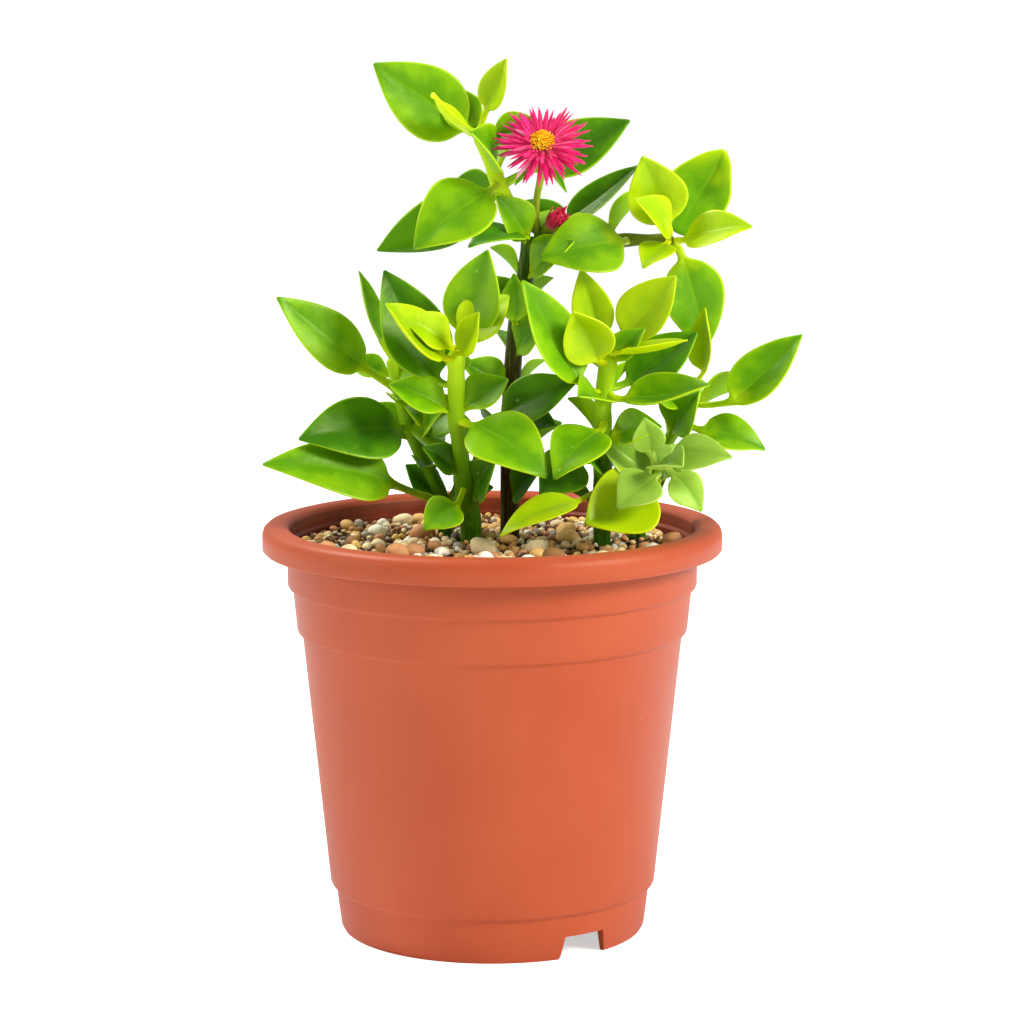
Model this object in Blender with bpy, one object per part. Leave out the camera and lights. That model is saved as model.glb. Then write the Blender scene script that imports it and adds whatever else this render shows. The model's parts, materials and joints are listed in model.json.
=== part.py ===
"""Potted ice plant (baby sun rose): a fleshy-leaved plant with one open flower, in a moulded nursery pot.

Metres, +Z up. The origin is on the ground, at the middle of the hub under the pot. The plant's front looks
along -Y. Places along the plant are written in millimetres and turned to metres where a mesh is made.
"""
import math

import bmesh
import bpy
from mathutils import Matrix, Vector

MM = 0.001

# Pot: radii and heights in millimetres
RIM_RADIUS = 52.5
POT_HEIGHT = 94.0
RIM_DEPTH = 5.9          # how far the turned-over rim hangs down outside
RIM_WIDTH = 6.2          # from the rim's outside to its inner edge
SKIRT = 1.4              # thickness of the hanging rim
WALL = 1.5
FOOT_RADIUS = 35.0
FOOT_HEIGHT = 10.7       # where the wall steps in to the foot
FLOOR_UNDERSIDE = 6.0
FLOOR_TOP = 7.6
HUB_RADIUS = 7.0
STEP = 1.1               # how far the wall steps in at each of its ledges
STEP_DROP = 0.6          # and how far it drops while it does
EDGE = 0.4               # small broken edges
RIM_CORNER = 2.2         # radius of the rim's outer top corner
RIM_INNER_FACE = (1.3, 3.9)   # the rim's inner face, between these depths below the top
LIP_WIDTH = 1.5          # of the slope from the rim's inner face up to its top
UPPER_LEDGE = 80.2
LOWER_LEDGE = 69.8
RADIUS_UNDER_RIM = 46.9
RADIUS_OVER_LEDGE = 46.8
RADIUS_MID_WALL = 44.7
RADIUS_OVER_FOOT = 37.4
TURNED_SIDES = 48

DRAIN_HOLES = 6
DRAIN_RADIUS = 3.0
DRAIN_CIRCLE = 21.0
NOTCH_ANGLES = (-54.0, 126.0)
NOTCH_WIDTH = 10.5
NOTCH_HEIGHT = 5.3
NOTCH_SLOPE = 1.2        # how much wider a notch's foot is on each side

# Filling
GAP = 0.3                # between touching pieces
WALL_GAP = 0.5           # between the filling and the pot's wall
GRAVEL_DEPTH = 4.0
GRAVEL_TOP = 89.0
GRAVEL_CROWN = 1.2       # how much higher the gravel lies at the middle
CROWN_RADIUS = 30.0
PLANTED_TO = 76.0        # the stems' feet reach down to here

# Stems
BEVEL_RESOLUTION = 2
TIP_NARROWING = 0.45     # radius at the end of a growing tip, as a part of the stem's
SOCKET_HEIGHT = 19.3     # the hole in the filling for a stem's foot

# Leaves
LEAF_THICKNESS = 1.2
STALK_WIDEST = 1.1       # half widths of the leaf stalk and of the tip
STALK_THINNEST = 0.7
TIP_HALF_WIDTH = 0.3
STEM_CLEARANCE = 1.3     # from a stem's surface to the middle of the stalk's end
LEAF_ROWS = 7
LEAF_COLUMNS = 4
BLADE_ROWS = (0.0, 0.08, 0.25, 0.45, 0.66, 0.85, 1.0)
CUP = 1.3                # 1 folds a leaf's cross-section to a V, more rounds it to a cup
BASE_ROUNDNESS = 0.5     # powers of the outline's formula
TIP_TAPER = 0.85

# Flower
PETAL_POINTS = 32
FLOWER_RADIUS = 10.7
NOTCH_RADIUS = 7.7       # between the petals' points
TIP_RISE = 1.2           # the whorl is a shallow cup
NOTCH_RISE = 0.5
DISC_RADIUS = 2.7
DISC_HEIGHT = 1.6
WHORL_THICKNESS = 1.6

# Linear colours
TERRACOTTA = (0.62, 0.19, 0.10)
MIX_BROWN = (0.05, 0.03, 0.02)
GRIT = (0.62, 0.47, 0.30)
STEM_GREEN = (0.25, 0.42, 0.03)
STEM_BROWN = (0.10, 0.04, 0.015)
FRESH = (0.30, 0.50, 0.01)
DEEP = (0.06, 0.20, 0.01)
SUNNY = (0.65, 0.70, 0.01)
PALE = (0.30, 0.42, 0.10)
MAGENTA = (0.80, 0.01, 0.12)
YOLK = (0.95, 0.55, 0.01)
CRIMSON = (0.55, 0.0, 0.03)

FEET = []                # (x, y, radius) of each stem planted in the potting mix


def clear_scene():
    for old in list(bpy.data.objects):
        bpy.data.objects.remove(old, do_unlink=True)


def make_material(name, colour, roughness):
    material = bpy.data.materials.new(name)
    material.use_nodes = True
    shader = material.node_tree.nodes["Principled BSDF"]
    shader.inputs["Base Color"].default_value = (*colour, 1.0)
    shader.inputs["Roughness"].default_value = roughness
    shader.inputs["Metallic"].default_value = 0.0
    return material


def add_object(name, data, colour, roughness=0.5):
    piece = bpy.data.objects.new(name, data)
    bpy.context.collection.objects.link(piece)
    piece.data.materials.append(make_material(name + "_material", colour, roughness))
    return piece


def finish_mesh(bm, name):
    bmesh.ops.recalc_face_normals(bm, faces=bm.faces)
    mesh = bpy.data.meshes.new(name)
    bm.to_mesh(mesh)
    bm.free()
    return mesh


def turned_mesh(name, profile, sides=TURNED_SIDES):
    """A closed solid turned round Z from a profile of (radius, height) that ends on the axis."""
    bm = bmesh.new()
    verts = [bm.verts.new((radius * MM, 0.0, height * MM)) for radius, height in profile]
    edges = [bm.edges.new(pair) for pair in zip(verts, verts[1:])]
    bmesh.ops.spin(bm, geom=verts + edges, cent=(0, 0, 0), axis=(0, 0, 1), angle=math.tau,
                   steps=sides, use_merge=True)
    bmesh.ops.remove_doubles(bm, verts=bm.verts, dist=0.01 * MM)
    return finish_mesh(bm, name)


def add_cutter(name, bm):
    cutter = bpy.data.objects.new(name, finish_mesh(bm, name))
    bpy.context.collection.objects.link(cutter)
    cutter.hide_render = True
    cutter.display_type = "WIRE"
    return cutter


def cut(piece, cutter):
    boolean = piece.modifiers.new("cut_" + cutter.name, "BOOLEAN")
    boolean.operation = "DIFFERENCE"
    boolean.object = cutter


# ---------------------------------------------------------------- pot and filling

def outer_wall():
    """The wall's outside below the rim, top to bottom, as (radius, height)."""
    return [
        (RADIUS_UNDER_RIM, POT_HEIGHT - SKIRT),
        (RADIUS_OVER_LEDGE, UPPER_LEDGE),
        (RADIUS_OVER_LEDGE - STEP, UPPER_LEDGE - STEP_DROP),
        (RADIUS_MID_WALL, LOWER_LEDGE),
        (RADIUS_MID_WALL - STEP, LOWER_LEDGE - STEP_DROP),
        (RADIUS_OVER_FOOT, FOOT_HEIGHT),
        (RADIUS_OVER_FOOT - STEP, FOOT_HEIGHT - STEP_DROP),
        (FOOT_RADIUS, EDGE),
        (FOOT_RADIUS - EDGE, 0.0),
    ]


def inner_wall():
    """The wall's inside from the floor up to the rim, as (radius, height)."""
    inside = RIM_RADIUS - RIM_WIDTH
    return [
        (RADIUS_OVER_FOOT - STEP - WALL, FLOOR_TOP),
        (RADIUS_OVER_FOOT - WALL, FOOT_HEIGHT + WALL),
        (RADIUS_MID_WALL - STEP - WALL, LOWER_LEDGE - STEP_DROP + WALL),
        (RADIUS_MID_WALL - WALL, LOWER_LEDGE + WALL),
        (RADIUS_OVER_LEDGE - STEP - WALL, UPPER_LEDGE - STEP_DROP + WALL),
        (RADIUS_OVER_LEDGE - WALL, UPPER_LEDGE + WALL),
        (RADIUS_UNDER_RIM - WALL, POT_HEIGHT - RIM_INNER_FACE[1] - EDGE),
        (inside, POT_HEIGHT - RIM_INNER_FACE[1]),
        (inside, POT_HEIGHT - RIM_INNER_FACE[0]),
    ]


def rim():
    """The turned-over rim from its inner edge over the top and down its outside, as (radius, height)."""
    inside = RIM_RADIUS - RIM_WIDTH
    top = [(inside + EDGE, POT_HEIGHT - EDGE), (inside + LIP_WIDTH, POT_HEIGHT)]
    arc = []
    for step in range(4):
        angle = math.radians(90 - 30 * step)
        arc.append((RIM_RADIUS - RIM_CORNER * (1 - math.cos(angle)),
                    POT_HEIGHT - RIM_CORNER * (1 - math.sin(angle))))
    hem = POT_HEIGHT - RIM_DEPTH
    skirt = [(RIM_RADIUS, hem + EDGE), (RIM_RADIUS - EDGE, hem), (RIM_RADIUS - SKIRT, hem)]
    under = [(RIM_RADIUS - SKIRT, POT_HEIGHT - RIM_CORNER - SKIRT)]
    return top + arc + skirt + under


def add_pot():
    foot_inside = FOOT_RADIUS - WALL
    underside = [
        (foot_inside, 0.0),
        (foot_inside, FLOOR_UNDERSIDE),
        (HUB_RADIUS, FLOOR_UNDERSIDE),
        (HUB_RADIUS, 0.0),
        (0.0, 0.0),
    ]
    profile = [(0.0, FLOOR_TOP)] + inner_wall() + rim() + outer_wall() + underside
    pot = add_object("pot", turned_mesh("pot", profile), TERRACOTTA, 0.45)
    cut(pot, drain_cutter())
    cut(pot, notch_cutter())


def drain_cutter():
    bm = bmesh.new()
    for hole in range(DRAIN_HOLES):
        angle = math.tau * hole / DRAIN_HOLES
        made = bmesh.ops.create_cone(bm, cap_ends=True, segments=12, radius1=DRAIN_RADIUS * MM,
                                     radius2=DRAIN_RADIUS * MM, depth=WALL * 6 * MM)
        place = (DRAIN_CIRCLE * math.cos(angle) * MM, DRAIN_CIRCLE * math.sin(angle) * MM,
                 FLOOR_UNDERSIDE * MM)
        bmesh.ops.translate(bm, verts=made["verts"], vec=place)
    return add_cutter("drain_cutter", bm)


def notch_cutter():
    """Wedge-sided blocks that cut a low notch through the foot ring at each angle."""
    bm = bmesh.new()
    half = NOTCH_WIDTH / 2
    foot = half + NOTCH_SLOPE
    below = -1.0
    for degrees in NOTCH_ANGLES:
        outward = Vector((math.cos(math.radians(degrees)), math.sin(math.radians(degrees)), 0.0))
        across = Vector((-outward.y, outward.x, 0.0))
        outline = [(-foot, below), (foot, below), (half, NOTCH_HEIGHT), (-half, NOTCH_HEIGHT)]
        start = outward * (FOOT_RADIUS - WALL * 2)
        ring = [bm.verts.new((start + across * x + Vector((0, 0, z))) * MM) for x, z in outline]
        face = bm.faces.new(ring)
        moved = bmesh.ops.extrude_face_region(bm, geom=[face])
        verts = [item for item in moved["geom"] if isinstance(item, bmesh.types.BMVert)]
        bmesh.ops.translate(bm, verts=verts, vec=outward * WALL * 4 * MM)
    return add_cutter("notch_cutter", bm)


def filling_wall(low, high):
    """The pot's inside between two heights, drawn in by the gap, as (radius, height)."""
    wall = inner_wall()
    levels = [low] + [height for _, height in wall if low < height < high] + [high]
    points = []
    for level in levels:
        for (r1, z1), (r2, z2) in zip(wall, wall[1:]):
            if z1 <= level <= z2 and z2 > z1:
                points.append((r1 + (r2 - r1) * (level - z1) / (z2 - z1) - WALL_GAP, level))
                break
    return points


def add_potting_mix(feet):
    top = GRAVEL_TOP - GRAVEL_DEPTH - GAP
    bottom = FLOOR_TOP + GAP
    profile = [(0.0, bottom)] + filling_wall(bottom, top) + [(0.0, top)]
    mix = add_object("potting_mix", turned_mesh("potting_mix", profile), MIX_BROWN, 0.95)
    cut(mix, feet)


def add_gravel(feet):
    bottom = GRAVEL_TOP - GRAVEL_DEPTH
    profile = [(0.0, bottom)] + filling_wall(bottom, GRAVEL_TOP)
    profile += [(CROWN_RADIUS, GRAVEL_TOP + GRAVEL_CROWN), (0.0, GRAVEL_TOP + GRAVEL_CROWN)]
    gravel = add_object("gravel_layer", turned_mesh("gravel_layer", profile), GRIT, 0.9)
    cut(gravel, feet)


# ---------------------------------------------------------------- stems

def smooth_path(points, steps=3):
    """A smooth curve through (x, y, z, radius) points, as a closer list of the same."""
    points = [Vector(point) for point in points]
    padded = [points[0] * 2 - points[1]] + points + [points[-1] * 2 - points[-2]]
    path = []
    for before, start, end, after in zip(padded, padded[1:], padded[2:], padded[3:]):
        for step in range(steps):
            t = step / steps
            pull = (end - before) * t + (before * 2 - start * 5 + end * 4 - after) * t ** 2
            pull += (start * 3 - before - end * 3 + after) * t ** 3
            path.append(start + pull / 2)
    return path + [points[-1]]


def add_stem(name, points, colour=STEM_GREEN, growing=True):
    """A round stem with closed ends, smooth through (x, y, z, radius) points. Returns its path.

    A growing stem gets a short tapered tip past its last point.
    """
    path = smooth_path(points)
    if growing:
        end = path[-1]
        onward = (end.xyz - path[-2].xyz).normalized()
        path.append(Vector((*(end.xyz + onward * end.w), end.w * TIP_NARROWING)))
    curve = bpy.data.curves.new(name, "CURVE")
    curve.dimensions = "3D"
    curve.bevel_depth = MM
    curve.bevel_resolution = BEVEL_RESOLUTION
    curve.use_fill_caps = True
    spline = curve.splines.new("POLY")
    spline.points.add(len(path) - 1)
    for point, place in zip(spline.points, path):
        point.co = (*(place.xyz * MM), 1.0)
        point.radius = place.w
    add_object(name, curve, colour, 0.5)
    return path


def planted(x, y, radius, *rest):
    """A stem's points, starting with its straight foot in the potting mix."""
    FEET.append((x, y, radius))
    return [(x, y, PLANTED_TO, radius), (x, y, GRAVEL_TOP + 2, radius), *rest]


def feet_cutter():
    bm = bmesh.new()
    middle = PLANTED_TO - GAP + SOCKET_HEIGHT / 2
    for x, y, radius in FEET:
        wide = (radius + GAP * 2) * MM
        made = bmesh.ops.create_cone(bm, cap_ends=True, segments=16, radius1=wide, radius2=wide,
                                     depth=SOCKET_HEIGHT * MM)
        bmesh.ops.translate(bm, verts=made["verts"], vec=Vector((x, y, middle)) * MM)
    return add_cutter("feet_cutter", bm)


# ---------------------------------------------------------------- leaves

def half_width(blade, width):
    """Half the width of a leaf's blade, from 0 where the blade starts to 1 at its tip."""
    widest = BASE_ROUNDNESS / (BASE_ROUNDNESS + TIP_TAPER)
    most = widest ** BASE_ROUNDNESS * (1.0 - widest) ** TIP_TAPER
    return blade ** BASE_ROUNDNESS * (1.0 - blade) ** TIP_TAPER / most * width / 2


def point_on_stem(stem, base):
    """Where a leaf that starts at base meets its stem: just clear of the stem's surface."""
    nearest = None
    for start, end in zip(stem, stem[1:]):
        run = end.xyz - start.xyz
        part = max(0.0, min(1.0, (base - start.xyz).dot(run) / run.length_squared))
        place = start.lerp(end, part)
        if nearest is None or (place.xyz - base).length < (nearest.xyz - base).length:
            nearest = place
    outward = base - nearest.xyz
    reach = nearest.w + STEM_CLEARANCE
    return base if outward.length < reach else nearest.xyz + outward.normalized() * reach


def add_leaf(name, stem, base, tip, width, face, fold, bow, stalk, colour=FRESH):
    """One fleshy leaf that grows from a stem.

    base and tip are the ends of the leaf's straight line, face is where its upper side looks, fold lifts its
    two halves towards that side in degrees, bow sinks its middle below the straight line (a negative bow
    arches it), and the blade starts a part of the way along, at stalk.
    """
    base = Vector(base)
    run = Vector(tip) - base
    length = run.length
    along_axis = run.normalized()
    up_axis = (Vector(face) - along_axis * Vector(face).dot(along_axis)).normalized()
    side_axis = along_axis.cross(up_axis)
    stalk_half = max(STALK_THINNEST, min(STALK_WIDEST, width / 10))
    bm = bmesh.new()
    bmesh.ops.create_grid(bm, x_segments=LEAF_ROWS, y_segments=LEAF_COLUMNS, size=1.0)
    for vert in bm.verts:
        row = round((vert.co.x + 1) / 2 * LEAF_ROWS)
        across = vert.co.y
        blade = BLADE_ROWS[max(row - 1, 0)]
        along = stalk + (1 - stalk) * blade if row else 0.0
        half = max(half_width(blade, width), TIP_HALF_WIDTH if blade > 0.5 else stalk_half)
        place = base + along_axis * along * length - up_axis * bow * length * 4 * along * (1 - along)
        if row == 0:
            place = point_on_stem(stem, place)
        lift = math.sin(math.radians(fold)) * abs(across) ** CUP * half
        spread = math.cos(math.radians(fold)) * across * half
        vert.co = (place + side_axis * spread + up_axis * lift) * MM
    leaf = add_object(name, finish_mesh(bm, name), colour, 0.35)
    thick = leaf.modifiers.new("thickness", "SOLIDIFY")
    thick.thickness = LEAF_THICKNESS * MM
    thick.offset = 0.0


def top_left_shoot():
    stem = add_stem("top_left_stem", [(7.4, 3.4, 160, 1.0), (5, 1.5, 165, 1.1), (2, 0, 170, 1.5),
                                      (0, -1, 175, 1.5), (-2.5, -2, 181, 1.3)])
    add_leaf("top_left_leaf_1", stem, base=(-5, -3, 183), tip=(-26, -6, 198), width=15,
             face=(-0.1, -1, 0.3), fold=12, bow=0.05, stalk=0.05)
    add_leaf("top_left_leaf_2", stem, base=(-4, -7, 182), tip=(-13, -16, 191), width=8,
             face=(0.5, -0.2, 0.8), fold=32, bow=0.06, stalk=0.05, colour=SUNNY)
    add_leaf("top_left_leaf_3", stem, base=(-2.5, -3, 186), tip=(3, -8, 199), width=8,
             face=(-0.6, -0.8, 0.2), fold=22, bow=0.08, stalk=0.15, colour=SUNNY)
    add_leaf("top_left_leaf_4", stem, base=(0, -6, 170), tip=(-17, -16, 158), width=15,
             face=(-0.3, -0.9, 0.3), fold=10, bow=-0.08, stalk=0.05)
    add_leaf("top_left_leaf_5", stem, base=(0, 3, 168), tip=(-26, 5, 156), width=13,
             face=(0.2, 0.8, 0.6), fold=18, bow=0.08, stalk=0.1, colour=DEEP)
    add_leaf("top_left_leaf_6", stem, base=(4, 4, 172), tip=(31, 8, 185), width=12,
             face=(0, -0.9, 0.4), fold=15, bow=0.03, stalk=0.2, colour=DEEP)


def main_shoot():
    stem = add_stem("main_stem", planted(4, 7, 2.2, (4, 7, 98, 2.2), (4, 6, 112, 2.1), (5, 6, 133, 2.0),
                                         (8, 4, 153, 2.0), (9, 4, 159, 2.2)),
                    STEM_BROWN, growing=False)
    add_leaf("main_leaf_1", stem, base=(15, 8, 161), tip=(33, 5, 175), width=8,
             face=(0.4, -0.5, 0.8), fold=25, bow=0.04, stalk=0.1, colour=DEEP)
    add_leaf("main_leaf_2", stem, base=(8, 0, 159), tip=(-5, -10, 158), width=9,
             face=(0.1, -0.35, 0.95), fold=12, bow=-0.1, stalk=0.1, colour=DEEP)
    add_leaf("main_leaf_3", stem, base=(5, 0, 139), tip=(5, -4, 151), width=6,
             face=(0, -1, 0.1), fold=12, bow=0.05, stalk=0.1)
    add_leaf("main_leaf_4", stem, base=(1, -1, 118), tip=(19, -4, 127), width=11,
             face=(-0.3, -0.8, 0.5), fold=12, bow=-0.05, stalk=0.1, colour=DEEP)


def flower():
    add_stem("flower_stalk", [(10, 3.4, 160.2, 0.8), (10, 1, 167, 0.8), (11, -3, 173.2, 0.9),
                              (11.2, -5.8, 177.1, 1.2), (11.2, -7.7, 178.8, 1.6)],
             growing=False)
    facing = Vector((0.0, -0.74, 0.67))
    centre = Vector((11.2, -9.5, 180.5))
    add_whorl("flower_petals", centre, facing)
    add_disc("flower_disc", centre, facing)
    add_bud("flower_bud", Vector((14.5, 1, 163)), Vector((2.5, -2, 3.3)))


def add_whorl(name, centre, facing):
    """The ring of petals as one thin toothed cup."""
    bm = bmesh.new()
    turn = facing.to_track_quat("Z", "Y")
    ring = []
    hub = []
    for point in range(PETAL_POINTS * 2):
        angle = math.pi * point / PETAL_POINTS
        outward = Vector((math.cos(angle), math.sin(angle), 0.0))
        radius, rise = (NOTCH_RADIUS, NOTCH_RISE) if point % 2 else (FLOWER_RADIUS, TIP_RISE)
        edge = outward * radius + Vector((0.0, 0.0, rise))
        ring.append(bm.verts.new((centre + turn @ edge) * MM))
        hub.append(bm.verts.new((centre + turn @ outward * DISC_RADIUS) * MM))
    count = len(ring)
    faces = [bm.faces.new((ring[i], ring[(i + 1) % count], hub[(i + 1) % count], hub[i]))
             for i in range(count)]
    faces.append(bm.faces.new(hub))
    moved = bmesh.ops.extrude_face_region(bm, geom=faces)
    verts = [item for item in moved["geom"] if isinstance(item, bmesh.types.BMVert)]
    bmesh.ops.translate(bm, verts=verts, vec=facing.normalized() * -WHORL_THICKNESS * MM)
    add_object(name, finish_mesh(bm, name), MAGENTA, 0.5)


def add_disc(name, centre, facing):
    """The domed heart of the flower, standing just clear of the petals."""
    dome = [(0.0, 0.0)]
    for step in range(4):
        angle = math.radians(30 * step)
        dome.append((DISC_RADIUS * math.cos(angle), DISC_HEIGHT * math.sin(angle)))
    dome[-1] = (0.0, DISC_HEIGHT)
    mesh = turned_mesh(name, dome, 16)
    mesh.transform(facing.to_track_quat("Z", "Y").to_matrix().to_4x4())
    mesh.transform(Matrix.Translation((centre + facing.normalized() * GAP) * MM))
    add_object(name, mesh, YOLK, 0.6)


def add_bud(name, centre, facing):
    """A closed bud on its own short stalk."""
    outline = [(0.0, -5.2), (0.7, -5.2), (0.7, -2.6), (2.2, -1.4), (2.6, 0.2), (2.2, 1.8), (1.2, 3.0),
               (0.0, 3.3)]
    mesh = turned_mesh(name, outline, 12)
    mesh.transform(facing.to_track_quat("Z", "Y").to_matrix().to_4x4())
    mesh.transform(Matrix.Translation(centre * MM))
    add_object(name, mesh, CRIMSON, 0.4)


def right_shoot():
    stem = add_stem("right_stem", [(11.4, 5.2, 157, 1.3), (17, 8, 156, 1.2), (25, 9, 157, 1.2),
                                   (33, 8, 158, 1.2), (40, 6.5, 158, 1.3)])
    add_leaf("right_leaf_1", stem, base=(30, 2, 158), tip=(11, -7, 155), width=15,
             face=(-0.1, -0.85, 0.5), fold=8, bow=-0.05, stalk=0.04)
    add_leaf("right_leaf_2", stem, base=(40, 5, 161), tip=(34, 2, 177), width=13,
             face=(0, -1, 0.2), fold=15, bow=0.08, stalk=0.06, colour=SUNNY)
    add_leaf("right_leaf_3", stem, base=(43, 9, 161), tip=(53, 12, 178), width=15,
             face=(-0.3, -1, 0.1), fold=15, bow=0.05, stalk=0.06)
    add_leaf("right_leaf_4", stem, base=(43, 2, 158), tip=(58, -5, 162), width=10,
             face=(0, -0.7, 0.7), fold=18, bow=-0.05, stalk=0.06, colour=SUNNY)
    add_leaf("right_leaf_5", stem, base=(39.5, 2, 157.5), tip=(34, -6, 153), width=8,
             face=(-0.3, -0.8, 0.5), fold=12, bow=-0.05, stalk=0.05, colour=SUNNY)
    add_leaf("right_leaf_6", stem, base=(43, 6, 155), tip=(49, 9, 133), width=13,
             face=(0.2, -1, -0.1), fold=10, bow=-0.06, stalk=0.05)


def front_right_shoot():
    stem = add_stem("front_right_stem", planted(25, -2, 2.0, (25, -4, 100, 2.0), (25, -7, 112, 1.9),
                                                (25, -9, 123, 1.8), (26, -10, 132, 1.7)))
    add_leaf("front_right_leaf_1", stem, base=(21.5, -13.5, 125), tip=(7, -20, 151), width=13,
             face=(0.6, -0.8, 0.3), fold=20, bow=0.04, stalk=0.12)
    add_leaf("front_right_leaf_2", stem, base=(24.5, -6, 136), tip=(20, -3, 152), width=9,
             face=(-0.1, -1, 0), fold=18, bow=0.08, stalk=0.05, colour=SUNNY)
    add_leaf("front_right_leaf_3", stem, base=(24, -14, 132), tip=(18, -20, 144), width=12,
             face=(-0.3, -0.8, 0.5), fold=28, bow=0.15, stalk=0.05, colour=SUNNY)
    add_leaf("front_right_leaf_4", stem, base=(29, -8, 137), tip=(41, -8, 151), width=12,
             face=(-0.4, -0.9, 0.3), fold=18, bow=0.05, stalk=0.05, colour=SUNNY)
    add_leaf("front_right_leaf_5", stem, base=(28, -13, 134.5), tip=(43, -20, 138), width=8,
             face=(0, -0.1, 1), fold=25, bow=0.05, stalk=0.05, colour=SUNNY)
    add_leaf("front_right_leaf_6", stem, base=(29, -7, 126), tip=(46, -5, 138), width=12,
             face=(-0.2, -0.8, 0.6), fold=18, bow=0.05, stalk=0.1, colour=DEEP)
    add_leaf("front_right_leaf_7", stem, base=(28, -12, 124), tip=(48, -19, 128), width=12,
             face=(0.05, -0.5, 0.85), fold=26, bow=0.07, stalk=0.08)
    add_leaf("front_right_leaf_8", stem, base=(25, -13, 117), tip=(14, -25, 108), width=13,
             face=(-0.2, -0.7, 0.7), fold=15, bow=-0.1, stalk=0.1)
    add_leaf("low_front_leaf_1", stem, base=(21, -14, 101), tip=(2, -24, 95), width=8,
             face=(0, -0.5, 0.9), fold=12, bow=-0.1, stalk=0.1, colour=SUNNY)
    add_leaf("low_front_leaf_2", stem, base=(21, -3, 109), tip=(11, -8, 102), width=12,
             face=(-0.2, -0.8, 0.5), fold=12, bow=-0.05, stalk=0.1, colour=DEEP)


def far_right_shoot():
    stem = add_stem("far_right_stem", planted(33, 8, 1.7, (36, 8, 100, 1.7), (40, 8, 111, 1.5),
                                              (45, 6, 119, 1.3), (47, 5, 126, 1.2)))
    add_leaf("far_right_leaf_1", stem, base=(48, 1, 128), tip=(48, 0, 143), width=9,
             face=(-0.8, -0.6, 0.1), fold=30, bow=0.05, stalk=0.05, colour=SUNNY)
    add_leaf("far_right_leaf_2", stem, base=(50, -1.5, 118.5), tip=(70, 0, 137), width=12,
             face=(-0.3, -0.8, 0.6), fold=22, bow=0.06, stalk=0.2)
    add_leaf("far_right_leaf_3", stem, base=(45, 2, 115), tip=(62, 0, 111), width=10,
             face=(0.1, -0.7, 0.7), fold=15, bow=-0.1, stalk=0.15)


def low_right_shoot():
    stem = add_stem("low_right_stem", planted(34, 2, 1.2, (35, -1, 97, 1.1), (37, -7, 104, 1.0),
                                              (37.5, -13, 108, 0.9)))
    add_leaf("low_right_leaf_1", stem, base=(39, -14, 111), tip=(53, -20, 112), width=9,
             face=(0, -0.8, 0.6), fold=12, bow=-0.08, stalk=0.1, colour=PALE)
    add_leaf("low_right_leaf_2", stem, base=(39.5, -12, 108), tip=(47, -14, 99), width=8,
             face=(0.2, -0.9, 0.3), fold=12, bow=-0.08, stalk=0.15, colour=PALE)
    add_leaf("low_right_leaf_3", stem, base=(36, -14, 110), tip=(34, -17, 120), width=7,
             face=(0, -1, 0.3), fold=10, bow=0.05, stalk=0.2, colour=PALE)
    add_leaf("low_right_leaf_4", stem, base=(37, -16, 107), tip=(28, -23, 101), width=10,
             face=(-0.2, -0.8, 0.4), fold=12, bow=-0.08, stalk=0.1, colour=PALE)
    add_leaf("low_right_leaf_5", stem, base=(37, -13.5, 103.5), tip=(21, -20, 97), width=17,
             face=(-0.3, -0.9, 0.4), fold=22, bow=0.08, stalk=0.05, colour=SUNNY)


def front_left_shoot():
    stem = add_stem("front_left_stem", planted(-5, 2, 2.1, (-6, -2, 102, 2.0), (-7, -6, 110, 1.9),
                                               (-8, -8, 119, 1.8), (-8, -10, 127, 1.8), (-8, -11, 133, 1.9)))
    add_leaf("front_left_leaf_1", stem, base=(-10, -14, 133), tip=(-23, -21, 146), width=13,
             face=(0.35, -0.6, 0.75), fold=28, bow=0.08, stalk=0.05, colour=SUNNY)
    add_leaf("front_left_leaf_2", stem, base=(-12, -8, 127), tip=(-24, -6, 152), width=15,
             face=(0.4, -1, 0.1), fold=20, bow=0.06, stalk=0.06, colour=DEEP)
    add_leaf("front_left_leaf_3", stem, base=(-7, -10, 136), tip=(-1, -12, 157), width=13,
             face=(-0.4, -1, 0.1), fold=18, bow=0.06, stalk=0.1)
    add_leaf("front_left_leaf_4", stem, base=(-7, -15, 134), tip=(-3, -21, 144), width=8,
             face=(-0.2, -0.7, 0.6), fold=25, bow=0.1, stalk=0.05, colour=SUNNY)
    add_leaf("front_left_leaf_5", stem, base=(-5, -11, 118), tip=(12, -23, 108), width=15,
             face=(0.1, -0.75, 0.65), fold=10, bow=-0.1, stalk=0.06)
    add_leaf("front_left_leaf_6", stem, base=(-7, -10, 100), tip=(-15, -15, 95), width=9,
             face=(-0.1, -0.8, 0.6), fold=10, bow=-0.05, stalk=0.1)


def back_left_shoot():
    stem = add_stem("back_left_stem", planted(-11, 12, 1.8, (-13, 11, 101, 1.7), (-17, 10, 109, 1.5),
                                              (-20, 9, 117, 1.4), (-22, 8, 125, 1.2), (-23, 7, 130, 1.1)))
    add_stem("left_link_stem", [(-18, 7.3, 115, 1.0), (-14, 3, 112, 1.1), (-9.4, -4, 110.3, 1.1)],
             growing=False)
    add_leaf("back_left_leaf_1", stem, base=(-25, 8, 134), tip=(-30, 4, 151), width=7,
             face=(0.8, -0.5, 0.3), fold=28, bow=0.05, stalk=0.05)
    add_leaf("back_left_leaf_2", stem, base=(-22.5, 4, 124), tip=(-48, -6, 146), width=12,
             face=(0.3, -0.9, 0.4), fold=14, bow=0.02, stalk=0.25)
    add_leaf("back_left_leaf_3", stem, base=(-20, 4, 115), tip=(-43, -12, 115), width=15,
             face=(0, -0.85, 0.5), fold=12, bow=-0.05, stalk=0.06, colour=DEEP)
    add_leaf("back_left_leaf_4", stem, base=(-15, 7, 97.5), tip=(-51, -14, 109.5), width=14,
             face=(0, -0.8, 0.6), fold=12, bow=-0.12, stalk=0.28)


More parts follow.
